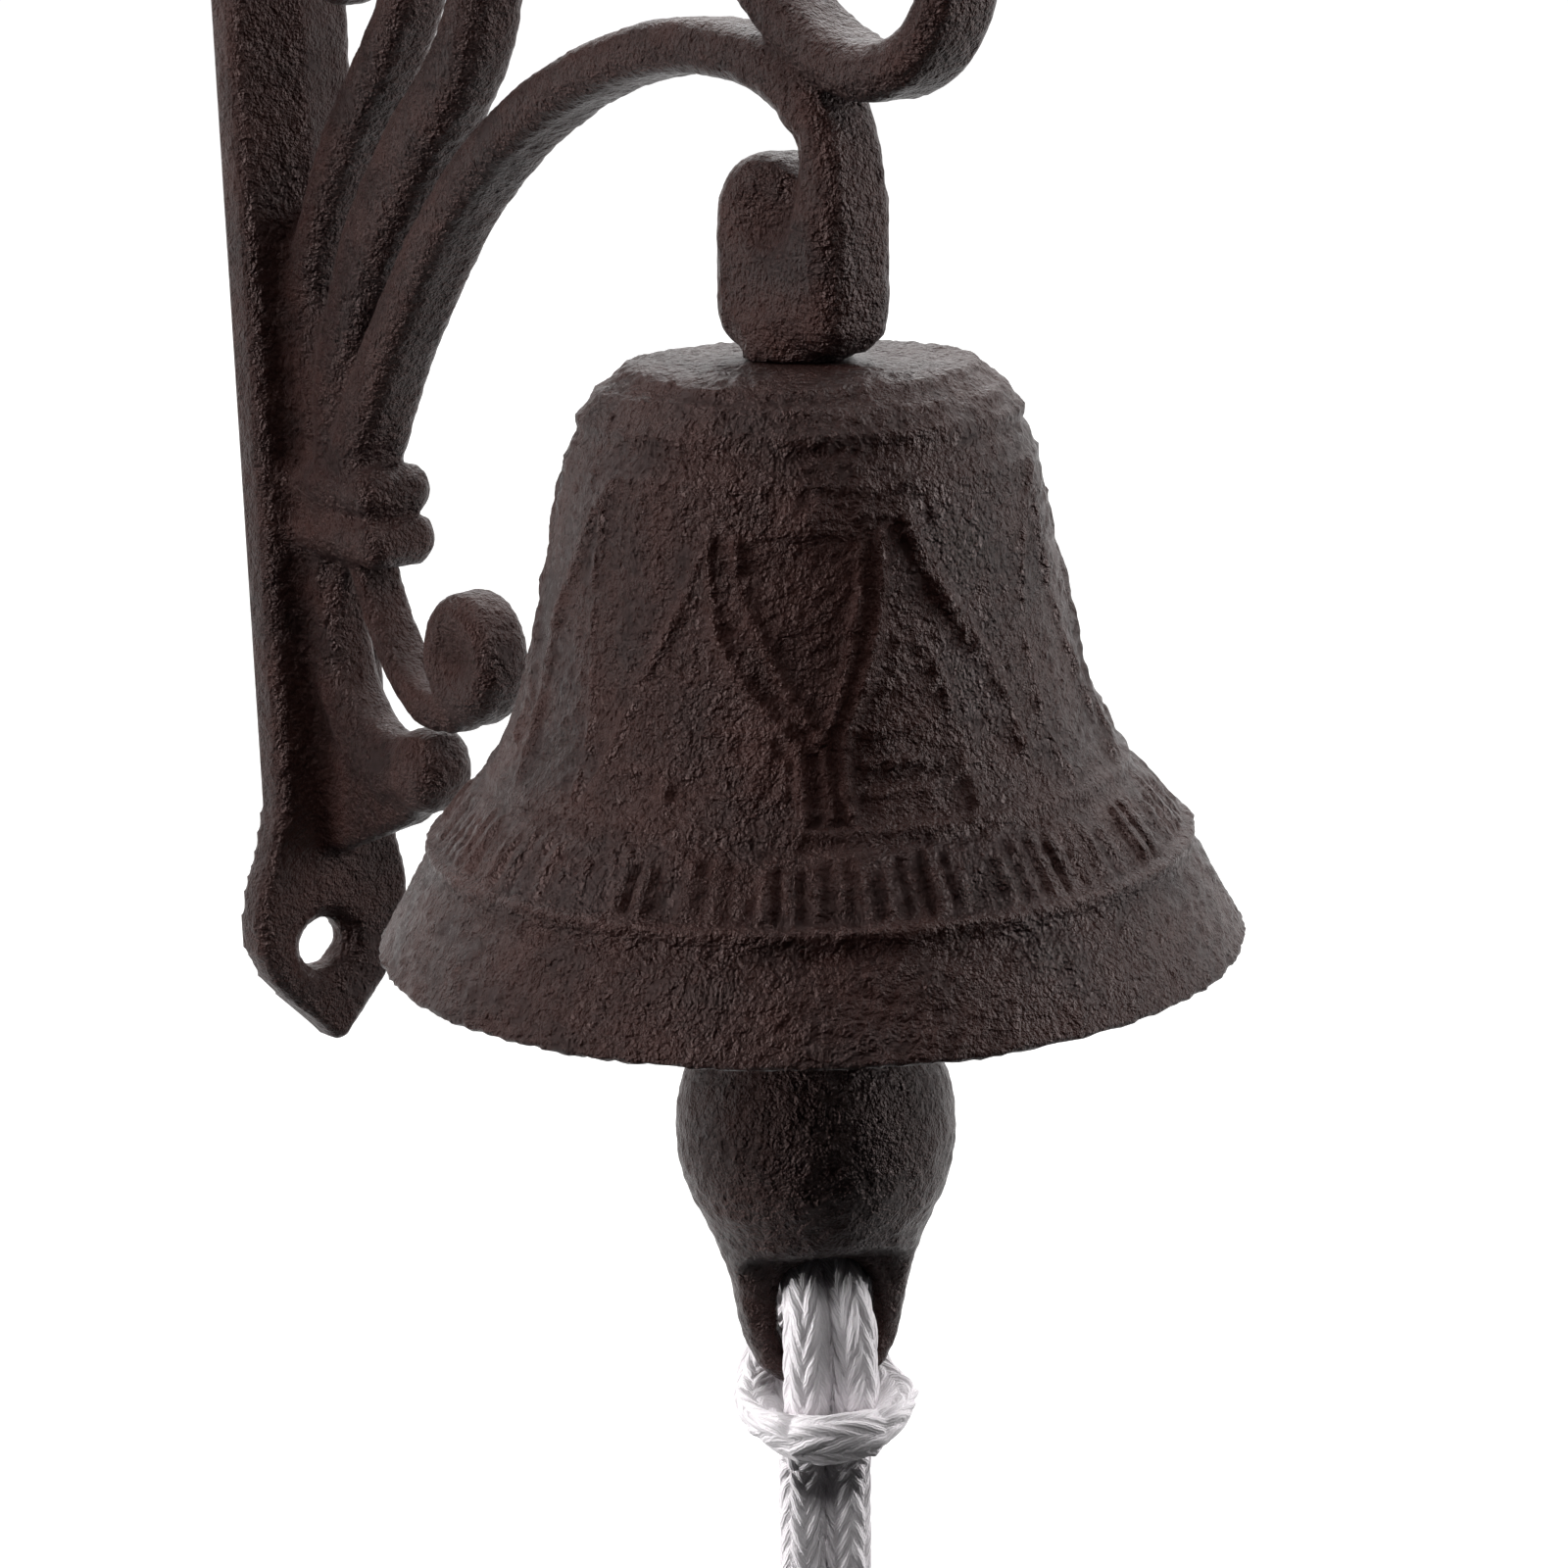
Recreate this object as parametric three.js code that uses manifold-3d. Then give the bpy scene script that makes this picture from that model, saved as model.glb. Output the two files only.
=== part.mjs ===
// A wall mounted bell: a cast scroll bracket, a cast bell bolted under its hook, and a clapper
// that hangs in the bell on a wire link and is rung by a looped cotton cord.
// Millimetres. The wall is the plane y = 0 and the object stands out from it towards -Y. +Z is up.
// The origin is the middle of the bracket's flat back.
import * as THREE from 'three';
import { mergeVertices } from 'three/addons/utils/BufferGeometryUtils.js';
import Module from 'manifold-3d';

const wasm = await Module();
wasm.setup();

// Driving dimensions
const RIM_Z = -63; // height of the bell's rim plane; most heights below are measured up from it
const REACH = 97; // from the wall to the bell's axis
const BAR_HALF_LENGTH = 97.5;
const BAR_HALF_WIDTH = 8.3;
const BAR_EDGE = 5; // thickness of the wall bar at its edges
const BAR_RIDGE = 7.5; // thickness of the wall bar along its middle
const LOBE_HALF_WIDTH = 11.2; // half width of the screw lobes at the bar's ends
const LOBE_SHIFT = -1; // the lobes sit a little to one side of the ridge
const HOLE_X = -2.4; // the screw holes' place across the bar
const HOLE_FROM_END = 13; // from the pointed end of the bar to the screw hole
const HOLE_R = 3.2;
const COUNTERSINK_R = 5.3;
const COUNTERSINK_DEPTH = 2.1;
const SCROLL_THICKNESS = 8.4; // of the arch, the hook and the brace, across the scroll plane
const STEM_THICKNESS = 7.2; // of the lighter stems
const SCROLL_WIDTH = 5; // of the arch, the hook and the brace, in the scroll plane
const EDGE_BEVEL = 0.9;
const HOOK_BOTTOM = 61; // underside of the hook, above the rim plane
const CROWN_TOP = 60; // top of the bell, above the rim plane
const CROWN_THICKNESS = 5;
const RIM_R = 45; // the bell's mouth is 90 mm across
const LIP_THICKNESS = 3.6;
const BOLT_R = 3; // M6
const BOLT_CLEARANCE = 0.35;
const BOLT_TOP = 70;
const GAP = 0.3; // between pieces that rest on each other
const WASHER_R = 7;
const WASHER_THICKNESS = 1.2;
const NUT_ACROSS_FLATS = 10;
const NUT_HEIGHT = 5;
const EYE_R = 5; // of the bolt's eye, to the middle of its wire
const EYE_WIRE_R = 1.9;
const EYE_Z = 40;
const LINK_WIRE_R = 1.5;
const LINK_ARC_R = 4.3;
const LINK_STRAIGHT = 6;
const CLAPPER_EYE_R = 4.6;
const CLAPPER_EYE_WIRE_R = 2.1;
const HANG_TURN = THREE.MathUtils.degToRad(-32); // turn of the eye, link, clapper and cord about Z
const BALL_R = 14.8;
const BALL_Z = -21;
const TAIL_BOTTOM = -51.6;
const TAIL_THICKNESS = 9;
const SLOT_HALF_WIDTH = 5.6;
const SLOT_CORNER_R = 3;
const SLOT_TOP = -34.4;
const SLOT_BOTTOM = -46.4;
const CORD_R = 2.3;
const CORD_SIDES = 8;
const LEG_X = 2.45; // half the distance between the two legs of the cord
const LEG_TOP = -61.5;
const LEG_LENGTH = 70;
const KNOT_R = 6.6;
const KNOT_HEIGHT = 13;
const TASSEL_LENGTH = 9;
const BELL_SEGMENTS = 48;

const iron = () => new THREE.MeshStandardMaterial({ color: 0x2b2220, roughness: 0.55, metalness: 0.6 });
const steel = () => new THREE.MeshStandardMaterial({ color: 0x8c8c8a, roughness: 0.35, metalness: 1 });
const cotton = () => new THREE.MeshStandardMaterial({ color: 0xe9e6e4, roughness: 0.9, metalness: 0 });

function solid(geometry) {
  const bare = geometry.clone();
  bare.deleteAttribute('normal');
  bare.deleteAttribute('uv');
  const merged = mergeVertices(bare, 1e-4);
  return new wasm.Manifold(new wasm.Mesh({
    numProp: 3,
    vertProperties: merged.attributes.position.array,
    triVerts: Uint32Array.from(merged.index.array),
  }));
}

function shell(manifold) {
  const mesh = manifold.getMesh();
  const geometry = new THREE.BufferGeometry();
  geometry.setAttribute('position', new THREE.BufferAttribute(mesh.vertProperties, 3));
  geometry.setIndex(new THREE.BufferAttribute(mesh.triVerts, 1));
  geometry.computeVertexNormals();
  return geometry;
}

const join = (pieces) => pieces.map(solid).reduce((all, piece) => all.add(piece));

// Points of the scroll plane are (y, height above the rim plane).
const at = (y, z) => new THREE.Vector2(y, z + RIM_Z);

// Turns a shape drawn in (y, z) and extruded upwards so that it is extruded along X, about x = 0.
function acrossTheScrolls(shape, thickness, bevel) {
  const geometry = new THREE.ExtrudeGeometry(shape, {
    depth: thickness - 2 * bevel,
    steps: 1,
    curveSegments: 8,
    bevelEnabled: true,
    bevelThickness: bevel,
    bevelSize: bevel,
    bevelOffset: -bevel,
    bevelSegments: 1,
  });
  geometry.translate(0, 0, bevel - thickness / 2);
  const turn = new THREE.Matrix4().makeBasis(
    new THREE.Vector3(0, 1, 0),
    new THREE.Vector3(0, 0, 1),
    new THREE.Vector3(1, 0, 0),
  );
  return geometry.applyMatrix4(turn);
}

// A band of changing width along a smooth line, with round ends.
function band(points, widths, steps) {
  const line = new THREE.SplineCurve(points);
  const size = new THREE.SplineCurve(widths.map((w, i) => new THREE.Vector2(i, w)));
  const left = [];
  const right = [];
  for (let i = 0; i <= steps; i++) {
    const t = i / steps;
    const middle = line.getPoint(t);
    const ahead = line.getTangent(t);
    const half = size.getPoint(t).y / 2;
    left.push(new THREE.Vector2(middle.x - ahead.y * half, middle.y + ahead.x * half));
    right.unshift(new THREE.Vector2(middle.x + ahead.y * half, middle.y - ahead.x * half));
  }
  const cap = (from, to, count) => {
    const centre = from.clone().add(to).multiplyScalar(0.5);
    const arm = from.clone().sub(centre);
    return Array.from({ length: count - 1 }, (_, i) => {
      const turned = arm.clone().rotateAround(new THREE.Vector2(), (-Math.PI * (i + 1)) / count);
      return turned.add(centre);
    });
  };
  const end = cap(left[left.length - 1], right[0], 5);
  const start = cap(right[right.length - 1], left[0], 5);
  return new THREE.Shape([...left, ...end, ...right, ...start].reverse());
}

function disc(y, z, radius, thickness) {
  const shape = new THREE.Shape().absarc(y, z + RIM_Z, radius, 0, 2 * Math.PI);
  return acrossTheScrolls(shape, thickness, EDGE_BEVEL);
}

// The wall bar's outline from the front, with a lobe and a blunt point at each end.
function barOutline() {
  const side = [
    [BAR_HALF_WIDTH, 0],
    [BAR_HALF_WIDTH, 66],
    [9.4, 72],
    [10.7, 76],
    [LOBE_HALF_WIDTH, 80],
    [11, 84],
    [9.2, 88],
    [6.4, 91.4],
    [3.4, 94.6],
    [0.8, BAR_HALF_LENGTH],
  ];
  const lean = (z) => LOBE_SHIFT * THREE.MathUtils.smoothstep(z, 66, 80);
  const upRight = side.slice(1).map(([x, z]) => new THREE.Vector2(x + lean(z), z));
  const downLeft = side.slice(1).reverse().map(([x, z]) => new THREE.Vector2(lean(z) - x, z));
  const top = [...upRight, ...downLeft];
  const bottom = top.map((v) => new THREE.Vector2(v.x, -v.y)).reverse();
  return new THREE.Shape([...top, ...bottom]);
}

function wallBar() {
  const plate = new THREE.ExtrudeGeometry(barOutline(), {
    depth: BAR_EDGE - EDGE_BEVEL,
    steps: 1,
    bevelEnabled: true,
    bevelThickness: EDGE_BEVEL,
    bevelSize: EDGE_BEVEL,
    bevelOffset: -EDGE_BEVEL,
    bevelSegments: 1,
  });
  plate.rotateX(Math.PI / 2);
  // The bevel at the wall side is cut away, so that the back is one flat face.
  const back = new THREE.BoxGeometry(60, 10, 3 * BAR_HALF_LENGTH).translate(0, 5, 0);
  const wing = BAR_HALF_WIDTH - EDGE_BEVEL;
  const roof = new THREE.ExtrudeGeometry(new THREE.Shape([
    new THREE.Vector2(-wing, -2),
    new THREE.Vector2(wing, -2),
    new THREE.Vector2(wing, -BAR_EDGE + 0.2),
    new THREE.Vector2(0, -BAR_RIDGE),
    new THREE.Vector2(-wing, -BAR_EDGE + 0.2),
  ].reverse()), { depth: 136, steps: 1, bevelEnabled: false });
  roof.translate(0, 0, -68);
  return solid(plate).subtract(solid(back)).add(solid(roof));
}

function screwHole(side) {
  const face = BAR_EDGE + 1;
  const rise = COUNTERSINK_R + 1;
  const drill = new THREE.LatheGeometry([
    new THREE.Vector2(0, -1),
    new THREE.Vector2(HOLE_R, -1),
    new THREE.Vector2(HOLE_R, BAR_EDGE - COUNTERSINK_DEPTH),
    new THREE.Vector2(COUNTERSINK_R, BAR_EDGE),
    new THREE.Vector2(rise, face),
    new THREE.Vector2(rise, face + 6),
    new THREE.Vector2(0, face + 6),
  ], 24);
  drill.rotateX(Math.PI);
  drill.translate(HOLE_X, 0, side * (BAR_HALF_LENGTH - HOLE_FROM_END));
  return solid(drill);
}

// The foot of the bouquet: the rib that all stems grow out of, its two-ringed collar and its leaf.
function bouquetFoot() {
  const rib = new THREE.Shape([
    at(-4, 62), at(-10, 60), at(-22, 51), at(-16.5, 44), at(-15.5, 41), at(-15.5, 29), at(-12.6, 27),
    at(-11.6, 20), at(-12.6, 14), at(-16.4, 10), at(-20, 9), at(-24, 9.4), at(-29.2, 9.4), at(-31, 6.2),
    at(-29, 2.2),
    at(-22.5, -2.6), at(-13, -6.6), at(-4, -10),
  ]);
  const pieces = [acrossTheScrolls(rib, STEM_THICKNESS, EDGE_BEVEL)];
  for (const z of [37.8, 32.2]) {
    const ring = band([at(-5, z + 0.4), at(-14, z), at(-20.6, z)], [5.4, 5.4, 5], 6);
    pieces.push(acrossTheScrolls(ring, SCROLL_THICKNESS + 2.2, EDGE_BEVEL));
  }
  return pieces;
}

// The small scroll that curls outwards under the collar.
function lowerCurl() {
  const stem = band([
    at(-13, 31), at(-17.2, 26), at(-19.8, 21), at(-23, 16.4), at(-28, 13.2), at(-34, 13.4),
  ], [4.4, 3.8, 3.6, 3.8, 4.6, 4.8], 10);
  const curl = new THREE.Shape().absellipse(-37.2, 20.2 + RIM_Z, 6.9, 8, 0, 2 * Math.PI);
  return [
    acrossTheScrolls(stem, STEM_THICKNESS, EDGE_BEVEL),
    acrossTheScrolls(curl, SCROLL_THICKNESS, EDGE_BEVEL),
  ];
}

// The two lighter stems, each ending in a closed curl: one turns back to the bar, one turns out.
function innerStems() {
  const back = band([
    at(-6, 54), at(-7.6, 60.4), at(-9.8, 66.3), at(-12.8, 72.3), at(-16.6, 78.1), at(-21.4, 83.8),
    at(-26.6, 89.5), at(-30.6, 95), at(-32.6, 102), at(-31, 109.5), at(-25.4, 114), at(-18.4, 113.2),
    at(-14, 108), at(-14.2, 101.6),
  ], [5, 5, 5, 5.2, 5.4, 5.4, 5.4, 5.2, 4.8, 4.4, 4.2, 4, 3.8, 3.8], 32);
  const out = band([
    at(-12.5, 50), at(-15.8, 56.3), at(-18.8, 62.3), at(-22.4, 68.2), at(-27.2, 74), at(-32.4, 79.7),
    at(-38.4, 85.3), at(-43, 90.9), at(-45.8, 97.4), at(-47, 105), at(-51.2, 111.4), at(-58, 112),
    at(-62.4, 106.8),
  ], [7.4, 7.8, 8, 8.4, 8.6, 8.4, 7.8, 7, 6.2, 5.4, 4.8, 4.4, 4], 28);
  return [
    acrossTheScrolls(back, STEM_THICKNESS - 0.6, EDGE_BEVEL),
    acrossTheScrolls(out, STEM_THICKNESS + 0.4, EDGE_BEVEL),
    disc(-17.6, 99.4, 5, SCROLL_THICKNESS),
    disc(-58.6, 101.6, 5.6, SCROLL_THICKNESS),
  ];
}

// The arch that springs from the collar and ends in the hook the bell is bolted under.
function archAndHook() {
  const arch = band([
    at(-12, 34), at(-15.8, 42), at(-19.9, 48.6), at(-24, 54.7), at(-28.7, 60.8), at(-33.6, 66.8),
    at(-39.6, 72.8), at(-47, 78.6), at(-55, 83.3), at(-63.5, 86.9), at(-71.8, 89.2), at(-79.8, 90.4),
    at(-87.4, 90.3), at(-94.4, 88.9), at(-100.2, 86), at(-103.6, 81.4), at(-104.4, 75), at(-104.2, 68),
  ], [6, 6.4, 6.2, 6, 5.8, 5.6, 5.6, 5.6, 5.6, 5.6, 5.4, 5.4, 5.4, 5.4, 5.2, 5, 5, 5], 38);
  const hook = new THREE.Shape([
    at(-106.8, 74), at(-106.6, 66), at(-105.4, HOOK_BOTTOM + 1), at(-103.4, HOOK_BOTTOM),
    at(-91.6, HOOK_BOTTOM), at(-89.8, HOOK_BOTTOM + 1), at(-88.8, 66), at(-88.8, 73),
    at(-100.2, 74), at(-101.2, 72.6), at(-102.2, 74),
  ].reverse());
  return [
    acrossTheScrolls(arch, SCROLL_THICKNESS, EDGE_BEVEL),
    acrossTheScrolls(hook, SCROLL_THICKNESS, EDGE_BEVEL),
    disc(-95, 73.8, 6.2, SCROLL_THICKNESS),
  ];
}

// The brace from the top of the bar to the front curl, lying on the arch where they meet.
function brace() {
  const line = band([
    at(-3, 139), at(-16, 140.6), at(-30, 139.8), at(-44, 136), at(-57, 129.6), at(-69, 120.8),
    at(-79.6, 111), at(-89, 101.6), at(-96.4, 95), at(-102, 90.8), at(-108.6, 88.4), at(-115, 89.2),
    at(-119.6, 93), at(-121.2, 99), at(-119, 105), at(-113.6, 107.6), at(-108.8, 105.4),
  ], [7, 5.8, 5.2, 5, 5, 5, 5.2, 5.4, 5.6, 5.6, 5.6, 5.4, 5, 4.8, 4.4, 4.2, 4], 42);
  return [
    acrossTheScrolls(line, SCROLL_THICKNESS, EDGE_BEVEL),
    disc(-109.8, 102.4, 4.2, SCROLL_THICKNESS),
  ];
}

function boltHole(bottom, top) {
  const radius = BOLT_R + BOLT_CLEARANCE;
  const hole = new THREE.CylinderGeometry(radius, radius, top - bottom, 24);
  hole.rotateX(Math.PI / 2);
  hole.translate(0, -REACH, RIM_Z + (top + bottom) / 2);
  return solid(hole);
}

function wallBracket() {
  const scrolls = join([
    ...bouquetFoot(), ...lowerCurl(), ...innerStems(), ...archAndHook(), ...brace(),
  ]);
  const wall = solid(new THREE.BoxGeometry(60, 40, 300).translate(0, 20, 0));
  return shell(wallBar()
    .add(scrolls)
    .subtract(wall)
    .subtract(screwHole(1))
    .subtract(screwHole(-1))
    .subtract(boltHole(HOOK_BOTTOM - 1, BOLT_TOP + GAP)));
}

// The bell's wall, as one closed section turned about its axis.
function bell() {
  const hole = BOLT_R + BOLT_CLEARANCE;
  const inside = CROWN_TOP - CROWN_THICKNESS;
  const section = [
    [hole, CROWN_TOP], [15.6, CROWN_TOP], [17.4, 59.6], [19.4, 58.4], [21, 57], [21.6, 56.4],
    [22.6, 56], [22.8, 54.8], [22.7, 53.8], [23.5, 53.2], [23.5, 52.2], [23.9, 50.6],
    [24.3, 49.6], [24.5, 47], [25.3, 42.4], [26.4, 37.4], [27.7, 32], [29.1, 26.6], [30.5, 23],
    [31.7, 20.8], [32.7, 19.9], [33, 18.9], [34.8, 16.9], [37.8, 12.9], [39.2, 12.2],
    [39.6, 11.2], [39.5, 10.5], [40.9, 8.4], [43.5, 3.4], [RIM_R, 0.5], [RIM_R - 0.4, 0],
    [RIM_R - LIP_THICKNESS, 0], [39.8, 3.2], [36.2, 9.4], [32.8, 14.2], [29, 19], [26.2, 24.4],
    [24.5, 31], [22.8, 38], [21.3, 45], [19.8, 51], [17.6, 54.2], [14.5, inside], [hole, inside],
  ];
  const points = [...section, section[0]].reverse().map(([r, z]) => new THREE.Vector2(r, z));
  return new THREE.LatheGeometry(points, BELL_SEGMENTS).rotateX(Math.PI / 2);
}

// The bolt that screws up into the hook. Its eye lies in the XZ plane before it is turned.
function eyeBolt() {
  const eyeTop = EYE_Z + EYE_R;
  const shank = new THREE.CylinderGeometry(BOLT_R, BOLT_R, BOLT_TOP - eyeTop, 24);
  shank.rotateX(Math.PI / 2);
  shank.translate(0, 0, (BOLT_TOP + eyeTop) / 2);
  const eye = new THREE.TorusGeometry(EYE_R, EYE_WIRE_R, 12, 32);
  eye.rotateX(Math.PI / 2);
  eye.translate(0, 0, EYE_Z);
  return shell(join([shank, eye]));
}

function ringPlate(outer, inner, bottom, top, segments) {
  const section = [[inner, bottom], [outer, bottom], [outer, top], [inner, top], [inner, bottom]];
  const points = section.map(([r, z]) => new THREE.Vector2(r, z));
  return new THREE.LatheGeometry(points, segments).rotateX(Math.PI / 2);
}

function hexNut(acrossFlats, bottom, top) {
  const corner = acrossFlats / Math.sqrt(3);
  const block = new THREE.CylinderGeometry(corner, corner, top - bottom, 6);
  block.rotateX(Math.PI / 2);
  block.translate(0, 0, (top + bottom) / 2);
  const radius = BOLT_R + BOLT_CLEARANCE;
  const bore = new THREE.CylinderGeometry(radius, radius, top - bottom + 2, 24);
  bore.rotateX(Math.PI / 2);
  bore.translate(0, 0, (top + bottom) / 2);
  return shell(solid(block).subtract(solid(bore)));
}

// The closed wire link: a long ring in the YZ plane, hooked through both eyes.
function clapperLink(topBar) {
  const arcTop = topBar - LINK_ARC_R;
  const corners = 16;
  const outline = [];
  for (let i = 0; i <= corners; i++) {
    const a = (Math.PI * i) / corners;
    outline.push(new THREE.Vector2(LINK_ARC_R * Math.cos(a), arcTop + LINK_ARC_R * Math.sin(a)));
  }
  for (let i = 0; i <= corners; i++) {
    const a = Math.PI + (Math.PI * i) / corners;
    const z = arcTop - LINK_STRAIGHT + LINK_ARC_R * Math.sin(a);
    outline.push(new THREE.Vector2(LINK_ARC_R * Math.cos(a), z));
  }
  const sides = 10;
  const place = [];
  const index = [];
  const count = outline.length;
  outline.forEach((corner, i) => {
    const before = outline[(i + count - 1) % count];
    const after = outline[(i + 1) % count];
    const ahead = after.clone().sub(before).normalize();
    for (let j = 0; j < sides; j++) {
      const b = (2 * Math.PI * j) / sides;
      const out = LINK_WIRE_R * Math.cos(b);
      place.push(LINK_WIRE_R * Math.sin(b), corner.x + ahead.y * out, corner.y - ahead.x * out);
      const next = ((i + 1) % count) * sides;
      const here = i * sides;
      const k = (j + 1) % sides;
      index.push(here + j, next + j, next + k, here + j, next + k, here + k);
    }
  });
  const geometry = new THREE.BufferGeometry();
  geometry.setAttribute('position', new THREE.BufferAttribute(new Float32Array(place), 3));
  geometry.setIndex(index);
  geometry.computeVertexNormals();
  return geometry;
}

// The clapper's casting: an eye, a stem, the ball and a flat tail with the cord slot.
function clapper(eyeZ) {
  const neck = eyeZ - CLAPPER_EYE_R;
  const stem = new THREE.LatheGeometry([
    [0, TAIL_BOTTOM], [4.4, TAIL_BOTTOM + 0.4], [6.6, -49.4], [7.7, -46.6], [8.6, -42.4],
    [9.6, -38.4], [10.5, -35], [12.1, -31.6], [13.7, -28.2], [14.6, -24.8], [BALL_R, BALL_Z],
    [14.4, -17.4], [13, -13.8], [10.8, -11], [8, -8.8], [6, -6.6], [4.9, -3], [4.4, 4],
    [4, 12], [3.6, neck], [0, neck + 0.6],
  ].map(([r, z]) => new THREE.Vector2(r, z)), 28);
  stem.rotateX(Math.PI / 2);
  const eye = new THREE.TorusGeometry(CLAPPER_EYE_R, CLAPPER_EYE_WIRE_R, 12, 28);
  eye.rotateX(Math.PI / 2);
  eye.translate(0, 0, eyeZ);
  let body = solid(stem).add(solid(eye));
  // The tail is flat front and back, and runs out into the ball.
  for (const side of [-1, 1]) {
    const cheek = new THREE.Shape([
      new THREE.Vector2(side * (TAIL_THICKNESS / 2), -60),
      new THREE.Vector2(side * 30, -60),
      new THREE.Vector2(side * 30, -30.5),
      new THREE.Vector2(side * 12.4, -30.5),
      new THREE.Vector2(side * 7.6, -33.6),
      new THREE.Vector2(side * (TAIL_THICKNESS / 2 + 0.6), -37.2),
    ]);
    const cut = new THREE.ExtrudeGeometry(cheek, { depth: 60, steps: 1, bevelEnabled: false });
    cut.translate(0, 0, -30);
    cut.applyMatrix4(new THREE.Matrix4().makeBasis(
      new THREE.Vector3(0, 1, 0),
      new THREE.Vector3(0, 0, 1),
      new THREE.Vector3(1, 0, 0),
    ));
    body = body.subtract(solid(cut));
  }
  // The slot has an arched top and rounded lower corners.
  const outline = new THREE.Shape();
  outline.moveTo(SLOT_HALF_WIDTH, SLOT_BOTTOM + SLOT_CORNER_R);
  outline.absarc(0, SLOT_TOP - SLOT_HALF_WIDTH, SLOT_HALF_WIDTH, 0, Math.PI);
  const low = SLOT_BOTTOM + SLOT_CORNER_R;
  const inner = SLOT_HALF_WIDTH - SLOT_CORNER_R;
  outline.absarc(-inner, low, SLOT_CORNER_R, Math.PI, 1.5 * Math.PI);
  outline.absarc(inner, low, SLOT_CORNER_R, 1.5 * Math.PI, 2 * Math.PI);
  const slot = new THREE.ExtrudeGeometry(outline, {
    depth: 40, steps: 1, curveSegments: 8, bevelEnabled: false,
  });
  slot.translate(0, 0, -20);
  slot.rotateX(Math.PI / 2);
  return shell(body.subtract(solid(slot)));
}

// A round cord along a smooth line.
function tube(points, steps) {
  const section = new THREE.Shape().absarc(0, 0, CORD_R, 0, 2 * Math.PI);
  const route = new THREE.CatmullRomCurve3(points, false, 'centripetal');
  return new THREE.ExtrudeGeometry(section, {
    curveSegments: CORD_SIDES / 2,
    steps,
    bevelEnabled: false,
    extrudePath: route,
  });
}

// The cow hitch. Both strands rise in front of the tail, pass back through the slot, come down
// behind it and meet in the loop that lies across the front.
function cordHitch() {
  const left = [
    [-2.45, -0.8, -61.1], [-2.45, -0.85, -60.3], [-2.45, -2.5, -58.2], [-2.45, -4.8, -55.4],
    [-2.45, -6.6, -52.4],
    [-2.45, -7.3, -48.6], [-2.45, -7.4, -44.6], [-2.45, -6.4, -41.2], [-2.45, -3.6, -38.9],
    [-2.45, 0, -38.3], [-2.45, 4, -38.9], [-2.6, 6.9, -41.6], [-3.4, 7.6, -45.4],
    [-4.8, 7.4, -49.4], [-6.6, 5, -53], [-7.4, 0.6, -55.2], [-7.3, -4.6, -56],
    [-4.9, -9, -56], [0, -10.6, -56],
  ];
  const right = left.slice(0, -1).reverse().map(([x, y, z]) => [-x, y, z]);
  return tube([...left, ...right].map(([x, y, z]) => new THREE.Vector3(x, y, z)), 66);
}

function cordLeg(side) {
  const x = side * LEG_X;
  const route = [
    [x, -0.8, LEG_TOP], [x, -0.78, LEG_TOP - 1], [x, -0.3, LEG_TOP - 6], [x, 0, LEG_TOP - 12],
    [x, 0.1, LEG_TOP - 30], [x, 0, LEG_TOP - LEG_LENGTH],
  ];
  return tube(route.map(([a, b, c]) => new THREE.Vector3(a, b, c)), 8);
}

// The overhand knot that joins the two ends, with their short frayed tails.
function cordKnot() {
  const top = LEG_TOP - LEG_LENGTH - GAP;
  const section = [
    [0, top], [4.9, top], [6, top - 2], [KNOT_R, top - 5], [KNOT_R, top - 8],
    [5.6, top - 11], [4, top - KNOT_HEIGHT], [4.4, top - KNOT_HEIGHT - 3],
    [5.4, top - KNOT_HEIGHT - TASSEL_LENGTH], [0, top - KNOT_HEIGHT - TASSEL_LENGTH],
  ];
  const points = section.reverse().map(([r, z]) => new THREE.Vector2(r, z));
  return new THREE.LatheGeometry(points, 20).rotateX(Math.PI / 2);
}

const crownUnder = CROWN_TOP - CROWN_THICKNESS;
const washerBottom = crownUnder - GAP - WASHER_THICKNESS;
const nutTop = washerBottom - GAP;
const hole = BOLT_R + BOLT_CLEARANCE;
const eyeFloor = EYE_Z - EYE_R; // middle of the wire that the link hangs on
const linkTop = eyeFloor + EYE_WIRE_R + GAP + LINK_WIRE_R;
const linkBottom = linkTop - 2 * LINK_ARC_R - LINK_STRAIGHT;
const clapperEyeTop = linkBottom + LINK_WIRE_R + GAP + CLAPPER_EYE_WIRE_R;

const model = new THREE.Group();
const hung = new THREE.Group(); // everything on the bell's axis
hung.position.set(0, -REACH, RIM_Z);
const turned = new THREE.Group(); // everything below the nut, at the bolt's final turn
turned.rotation.z = HANG_TURN;
hung.add(turned);
model.add(hung);

function place(group, name, geometry, material) {
  const mesh = new THREE.Mesh(geometry, material);
  mesh.name = name;
  group.add(mesh);
}

place(model, 'wall_bracket', wallBracket(), iron());
place(hung, 'bell', bell(), iron());
place(hung, 'crown_washer', ringPlate(WASHER_R, hole, washerBottom, crownUnder - GAP, 28), steel());
place(hung, 'hex_nut', hexNut(NUT_ACROSS_FLATS, nutTop - NUT_HEIGHT, nutTop), steel());
place(turned, 'eye_bolt', eyeBolt(), steel());
place(turned, 'clapper_link', clapperLink(linkTop), steel());
place(turned, 'clapper', clapper(clapperEyeTop - CLAPPER_EYE_R), iron());
place(turned, 'cord_hitch', cordHitch(), cotton());
place(turned, 'cord_leg_left', cordLeg(-1), cotton());
place(turned, 'cord_leg_right', cordLeg(1), cotton());
place(turned, 'cord_knot', cordKnot(), cotton());

export default model;
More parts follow.
